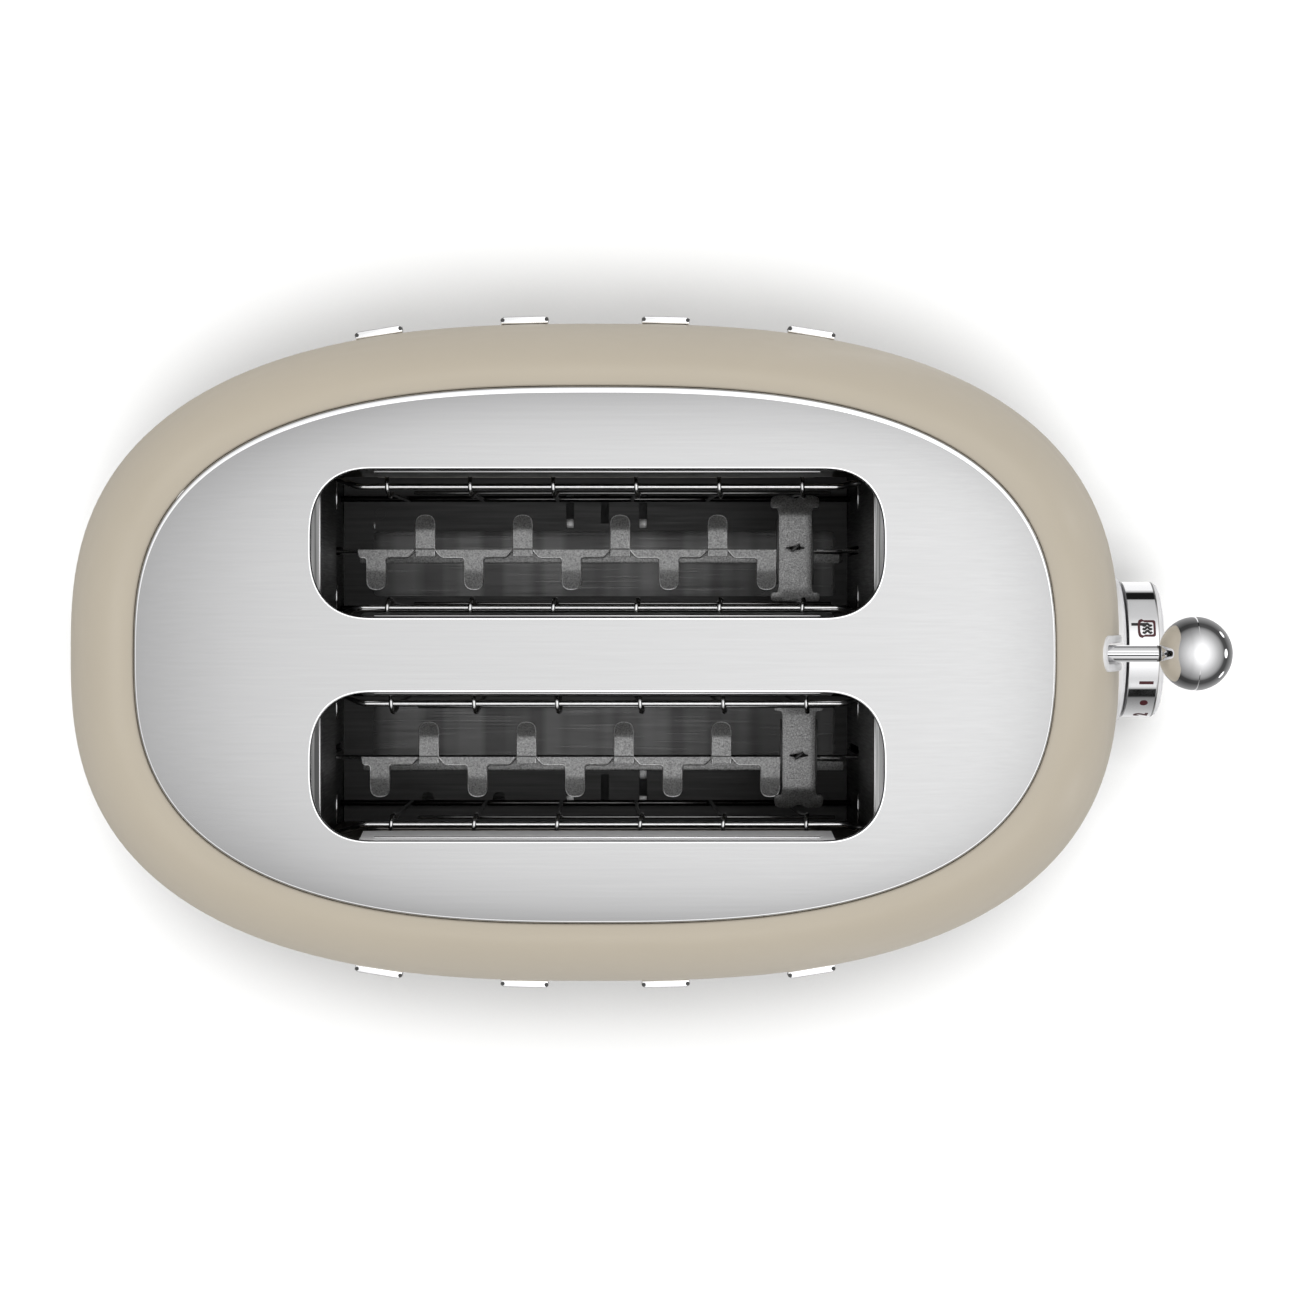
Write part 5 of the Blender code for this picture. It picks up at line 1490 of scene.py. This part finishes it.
def make_end_plates():
    """Dark end walls with a crossed slit for each rail, and small ledges painted light."""
    for sign, name in ((1, "front"), (-1, "rear")):
        node = f"end_plate_{name}"
        low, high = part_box(node)
        half = high.y
        outline = [
            (-half, low.z),
            (half, low.z),
            (half, high.z - 0.008),
            (half - 0.008, high.z),
            (-half + 0.008, high.z),
            (-half, high.z - 0.008),
        ]
        plate = add_object(f"chamber_{node}", *prism(fillet(outline, 0.002, 4), "X", low.x, high.x))
        near, far = low.x - 0.004, high.x + 0.004
        cutters = []
        for side in (1, -1):
            y = side * SLOT_CENTRE
            half_slit = [
                (SLIT_HALF, RAIL_TOP - 0.080),
                (SLIT_HALF, RAIL_BOTTOM - 0.004),
                (SLIT_CROSS, RAIL_BOTTOM - 0.004),
                (SLIT_CROSS, RAIL_BOTTOM + 0.009),
                (SLIT_HALF, RAIL_BOTTOM + 0.009),
                (SLIT_HALF, RAIL_TOP + 0.004),
            ]
            slit = [(y + u, v) for u, v in half_slit] + [(y - u, v) for u, v in half_slit[::-1]]
            cutters.append(prism(slit, "X", near, far))
        for place in guard_places():
            cutters.append(prism(circle(place[1], GUARD_BOTTOM, GUARD_HOLE, 20), "X", near, far))
        if name == "rear":
            cutters.append(block((near, -TRAY_NOTCH_HALF, 0.001), (far, TRAY_NOTCH_HALF, 0.018)))
        cut(plate, *cutters)
        show(plate, "body", CHASSIS_UPRIGHT, "chassis_steel", node, smooth=30)

        face = low.x if sign > 0 else high.x
        ledges = []
        for side in (1, -1):
            y = side * SLOT_CENTRE
            for start, end, z in END_LEDGES:
                x0, x1 = sorted((face - sign * 0.0001, face - sign * 0.0009))
                ledges.append(block((x0, y + start, z), (x1, y + end, z + 0.0006)))
        show_all(f"end_ledges_painted_light_{name}", ledges, "body", CHASSIS_PAINTED_LIGHT, "chassis_steel", smooth=None)


FLOOR_SLITS = ((-0.0080, 0.0416, 0.0467), (0.0031, 0.0400, 0.0500), (0.0153, 0.0416, 0.0467))
FLOOR_SLIT_HALF = 0.00125
RING_PROFILE = (
    (0.0015, FLOOR_HIGH.z + 0.0001),
    (0.0015, FLOOR_HIGH.z + 0.0006),
    (0.0019, FLOOR_HIGH.z + 0.0006),
    (0.0019, FLOOR_HIGH.z + 0.0001),
)


def make_chamber_floor():
    """The dark floor with a crumb window in each half, slits with painted shade under them, tabs painted
    light, and round holes.
    """
    floor = add_object("chamber_deck", *block(tuple(FLOOR_LOW), tuple(FLOOR_HIGH)))
    near, far = FLOOR_LOW.z - 0.01, FLOOR_HIGH.z + 0.01
    cutters, tabs, painted_shade_blocks = [], [], []
    for side in (1, -1):
        near_y, far_y = (0.0168, 0.0375) if side > 0 else (0.0185, 0.0375)
        window = [(-0.0707, near_y), (0.0765, near_y), (0.0765, far_y), (-0.0707, far_y)]
        window = fillet([(MIDDLE_X + x, side * y) for x, y in window], 0.002, 5)
        cutters.append(prism(window, "Z", near, far))
        for x, start, end in FLOOR_SLITS:
            y0, y1 = sorted((side * start, side * end))
            slit_low = (MIDDLE_X + x - FLOOR_SLIT_HALF, y0, near)
            cutters.append(block(slit_low, (MIDDLE_X + x + FLOOR_SLIT_HALF, y1, far)))
            # A black block under each slit: painted shade seen through it.
            shade_block_low = (MIDDLE_X + x - FLOOR_SLIT_HALF, y0, FLOOR_LOW.z - 0.0010)
            painted_shade_blocks.append(block(shade_block_low, (MIDDLE_X + x + FLOOR_SLIT_HALF, y1, FLOOR_LOW.z - 0.0004)))
        for x in (FLOOR_SLITS[0][0], FLOOR_SLITS[2][0]):
            for start, end in ((0.0384, 0.0415), (0.0468, 0.0490)):
                y0, y1 = sorted((side * start, side * end))
                tab_low = (MIDDLE_X + x - 0.0012, y0, FLOOR_HIGH.z + 0.0001)
                tabs.append(block(tab_low, (MIDDLE_X + x + 0.0012, y1, FLOOR_HIGH.z + 0.0007)))
    corner_tab = (MIDDLE_X - 0.0707, 0.0381, FLOOR_HIGH.z + 0.0001)
    tabs.append(block(corner_tab, (MIDDLE_X - 0.0701, 0.0403, FLOOR_HIGH.z + 0.0012)))
    ring_x, ring_y = MIDDLE_X - 0.0687, 0.0431
    rings = [ring_at(circle(ring_x, ring_y, r), z) for r, z in RING_PROFILE]
    for x in (-0.0534, -0.0307):
        cutters.append(prism(circle(MIDDLE_X + x, -0.0475, 0.0019, 24), "Z", near, far))
    cut(floor, *cutters)
    show(floor, "body", CHASSIS, "chassis_steel", "chamber_floor", smooth=30)
    ring = add_object("floor_ring", *loft(rings, closed=True))
    show(ring, "body", CHASSIS, "chassis_steel", smooth=40)
    show_all("slits_painted_shade", painted_shade_blocks, "body", BLACK, "black_plastic", smooth=None)
    tab = add_object("floor_tabs_painted_light", *merge(*tabs))
    bevelled(tab, 0.0002, 2)
    show(tab, "body", CHASSIS_PAINTED_LIGHT, "chassis_steel", smooth=40)


def make_heaters():
    """Finer ribbons, wound flat on the mica cards in close rows."""
    for slot_name in ("left", "right"):
        for name in ("outer", "inner"):
            node = f"heating_ribbon_{slot_name}_{name}"
            low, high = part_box(node)
            rows = 9
            pitch = (high.z - low.z - 0.002) / (rows - 1)
            path = []
            for row in range(rows):
                z = low.z + 0.001 + row * pitch
                ends = (low.x + 0.001, high.x - 0.001)
                path += [(x, z) for x in (ends if row % 2 == 0 else ends[::-1])]
            path = [p.to_tuple() for p in fillet(path, 0.0035, 5, closed=False)]
            ribbon = add_object(f"{node}_wound", *prism(stroke(path, 0.0016), "Y", low.y, high.y), smooth=0)
            show(ribbon, "body", RIBBON, "heating_ribbon", node)


def dress_cad_nodes():
    """Materials for the CAD nodes whose own shape is right."""
    looks = {
        "crumb_tray": TRAY_STEEL,
        "dial_shaft": BLACK,
        "rotary_switch": BLACK,
        "cord_gland": RUBBER,
        "control_board": BOARD,
        "magnet_coil": COPPER,
        "magnet_core": CHASSIS,
        "rod_top_bracket": CHASSIS,
        "carriage_bracket": ZINC,
        "latch_plate": ZINC,
        "return_spring": WIRE,
        "guide_rod_left": TOP_STEEL,
        "guide_rod_right": TOP_STEEL,
        "reflector_left": CHASSIS,
        "reflector_right": CHASSIS,
    }
    for slot_name in ("left", "right"):
        for name in ("outer", "inner"):
            looks[f"heater_card_{slot_name}_{name}"] = MICA
    for node, material in looks.items():
        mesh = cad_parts[node].data
        mesh.materials.clear()
        mesh.materials.append(material)


# ---- Studio --------------------------------------------------------------------------------------------


CAMERA_HEIGHT = 1.196
CAMERA_X = MIDDLE_X + 0.0009
CAMERA_Y = 0.0124
FOCAL_LENGTH = 100.36
SENSOR_WIDTH = 36
LENS_SHIFT_X = 0.040
LENS_SHIFT_Y = -0.0308
FLOOR_RADIUS = 6.0


def make_camera():
    data = bpy.data.cameras.new("camera")
    data.lens = FOCAL_LENGTH
    data.sensor_width = SENSOR_WIDTH
    data.shift_x = LENS_SHIFT_X
    data.shift_y = LENS_SHIFT_Y
    camera = bpy.data.objects.new("camera", data)
    camera.location = (CAMERA_X, CAMERA_Y, CAMERA_HEIGHT)
    bpy.context.scene.collection.objects.link(camera)
    bpy.context.scene.camera = camera


def make_floor():
    points, faces = upright_turned([(0.0, 0.0), (0.05, 0.0), (FLOOR_RADIUS, 0.0)], 0, 0, 96)
    floor = add_object("studio_floor", points, faces)
    floor.data.materials.append(make_floor_look())
    floor.visible_glossy = False
    return floor


def add_area_light(name, location, aim, size, power, diffuse, glossy, receivers=None):
    data = bpy.data.lights.new(name, "AREA")
    data.shape = "DISK"
    data.size = size
    data.energy = power
    light = bpy.data.objects.new(name, data)
    light.location = location
    light.rotation_euler = (Vector(location) - Vector(aim)).to_track_quat("Z", "Y").to_euler()
    light.visible_camera = False
    light.visible_diffuse = diffuse
    light.visible_glossy = glossy
    if receivers:
        light.light_linking.receiver_collection = receivers
    bpy.context.scene.collection.objects.link(light)


def receivers_of(name, floor, state):
    """The things that a light falls on: the floor alone, or all but the floor."""
    group = bpy.data.collections.new(name)
    group.objects.link(floor)
    group.collection_objects[0].light_linking.link_state = state
    return group


SKY_PEAK = 1.5
SKY_TONES = [(0, 1.44), (8, 1.41), (14, 1.30), (20, 1.19), (30, 1.05), (40, 0.86), (50, 0.71)]
SKY_TONES += [(60, 0.56), (70, 0.43), (80, 0.33), (88, 0.20), (94, 0.07), (108, 0.06)]
SKY_TONES += [(116, 0.12), (130, 0.20), (150, 0.30), (180, 0.40)]
SKY_SLOPE_REACH = 0.25
SKY_SLOPE_LOW = 0.82
SKY_SLOPE_HIGH = 1.26
LEFT_BAND = [(0, 1.2), (20, 0.8), (88, 0.62), (94, 0.55), (96, 0.01), (113, 0.01), (117, 0.6)]
LEFT_BAND += [(123, 1.1), (180, 1.2)]
RIGHT_BAND = [(0, 1.3), (20, 1.2), (66, 0.95), (70, 0.6), (72, 0.01), (87, 0.01), (91, 0.25)]
RIGHT_BAND += [(150, 0.75), (180, 1.0)]
BAND_MIDDLE_X = 0.150
BAND_HALF = 0.010
BAND_SOFT = 0.014
BAND_FROM = math.radians(50)
BAND_FULL = math.radians(62)


def make_world():
    """Soft light from all round by angle from overhead, a little brighter towards +X."""
    world = bpy.data.worlds.new("studio")
    bpy.context.scene.world = world
    world.use_nodes = True
    tree = world.node_tree
    background = tree.nodes["Background"]

    def node(kind, **settings):
        made = tree.nodes.new(kind)
        for key, value in settings.items():
            setattr(made, key, value)
        return made

    def math_node(operation, first, second):
        made = node("ShaderNodeMath", operation=operation)
        for socket, value in zip(made.inputs, (first, second)):
            if isinstance(value, (int, float)):
                socket.default_value = value
            else:
                tree.links.new(value, socket)
        return made.outputs[0]

    def tones(share, stops):
        made = node("ShaderNodeValToRGB")
        elements = made.color_ramp.elements
        for number, (degrees, tone) in enumerate(stops):
            stop = elements[number] if number < 2 else elements.new(degrees / 180)
            stop.position = degrees / 180
            stop.color = (tone / SKY_PEAK, tone / SKY_PEAK, tone / SKY_PEAK, 1)
        tree.links.new(share, made.inputs["Fac"])
        return made.outputs["Color"]

    def mixed(share, first, second):
        mix = node("ShaderNodeMix", data_type="RGBA")
        for socket, value in zip((mix.inputs[0], mix.inputs[6], mix.inputs[7]), (share, first, second)):
            tree.links.new(value, socket)
        return mix.outputs[2]

    place = node("ShaderNodeTexCoord")
    split = node("ShaderNodeSeparateXYZ")
    tree.links.new(place.outputs["Generated"], split.inputs["Vector"])
    zenith = math_node("DIVIDE", math_node("ARCCOSINE", split.outputs["Z"], 0), math.pi)
    reach = SKY_SLOPE_REACH
    slope = map_range(tree, split.outputs["X"], SKY_SLOPE_LOW, SKY_SLOPE_HIGH, -reach, reach)
    scaled = node("ShaderNodeVectorMath", operation="SCALE")
    tree.links.new(tones(zenith, SKY_TONES), scaled.inputs[0])
    tree.links.new(slope, scaled.inputs["Scale"])

    left = math_node("GREATER_THAN", split.outputs["Y"], 0)
    bands = mixed(left, tones(zenith, RIGHT_BAND), tones(zenith, LEFT_BAND))
    off_middle = math_node("ABSOLUTE", math_node("SUBTRACT", split.outputs["X"], BAND_MIDDLE_X), 0)
    window = map_range(tree, off_middle, 1, 0, BAND_HALF, BAND_SOFT)
    low_enough = map_range(tree, split.outputs["Z"], 0, 1, math.cos(BAND_FROM), math.cos(BAND_FULL))
    share = math_node("MULTIPLY", window, low_enough)
    share = math_node("MULTIPLY", share, node("ShaderNodeLightPath").outputs["Is Glossy Ray"])
    tree.links.new(mixed(share, scaled.outputs["Vector"], bands), background.inputs["Color"])
    background.inputs["Strength"].default_value = SKY_PEAK


FILL_LIGHTS = 8
FILL_POWER = 7.4
FILL_LEAN = 0.22
FILL_ELEVATION = math.radians(16)
FILL_DISTANCE = 2.0
FLOOR_LIGHT_Y = 0.38
FLOOR_LIGHT_HEIGHT = 2.2
FLOOR_LIGHT_POWER = 70
FLOOR_LIGHT_SIZE = 0.56
HIGHLIGHTS = ((0.35, 0, 10, 0.10), (0.30, 33, 24, 0.06), (0.30, -36, 29, 0.06))
HIGHLIGHT_RADIANCE = 1.6


def direction(turn, rise):
    """A unit vector at an angle round the Z axis from +X, and at an angle above the level."""
    return Vector((math.cos(turn) * math.cos(rise), math.sin(turn) * math.cos(rise), math.sin(rise)))


def make_studio():
    """A pale floor lit from above, soft light all round the object, and three small highlights."""
    make_camera()
    make_world()
    floor = make_floor()
    on_floor = receivers_of("lights_on_floor", floor, "INCLUDE")
    off_floor = receivers_of("lights_off_floor", floor, "EXCLUDE")
    for side in (1, -1):
        place = (MIDDLE_X, side * FLOOR_LIGHT_Y, FLOOR_LIGHT_HEIGHT)
        name, aim = f"floor_light_{side + 2}", (MIDDLE_X, 0, 0)
        add_area_light(name, place, aim, FLOOR_LIGHT_SIZE, FLOOR_LIGHT_POWER, True, False, on_floor)
    middle = Vector((0, 0, 0.1))
    for number in range(FILL_LIGHTS):
        turn = 2 * math.pi * number / FILL_LIGHTS
        power = FILL_POWER * (1 - FILL_LEAN * math.cos(turn))
        place = middle + direction(turn, FILL_ELEVATION) * FILL_DISTANCE
        add_area_light(f"fill_{number}", place, middle, 1.0, power, True, False, off_floor)
    ball = Vector((BALL_X, 0, LEVER_Z))
    for number, (reach, degrees, drop, size) in enumerate(HIGHLIGHTS):
        place = ball + direction(math.radians(degrees), -math.radians(drop)) * reach
        power = HIGHLIGHT_RADIANCE * (math.pi * size / 2) ** 2
        add_area_light(f"highlight_{number}", place, ball, size, power, False, True)
    bpy.context.scene.view_settings.view_transform = "Standard"


make_shell()
make_top_plate()
make_base()
make_feet_and_screws()
make_side_bars()
make_lever_slot_rim()
make_lever()
make_dial()
make_guards()
for rail_side, rail_name in ((1, "left"), (-1, "right")):
    make_rail(rail_side, rail_name)
    make_spreader(rail_side, rail_name)
make_end_plates()
make_chamber_floor()
make_heaters()
dress_cad_nodes()
make_studio()
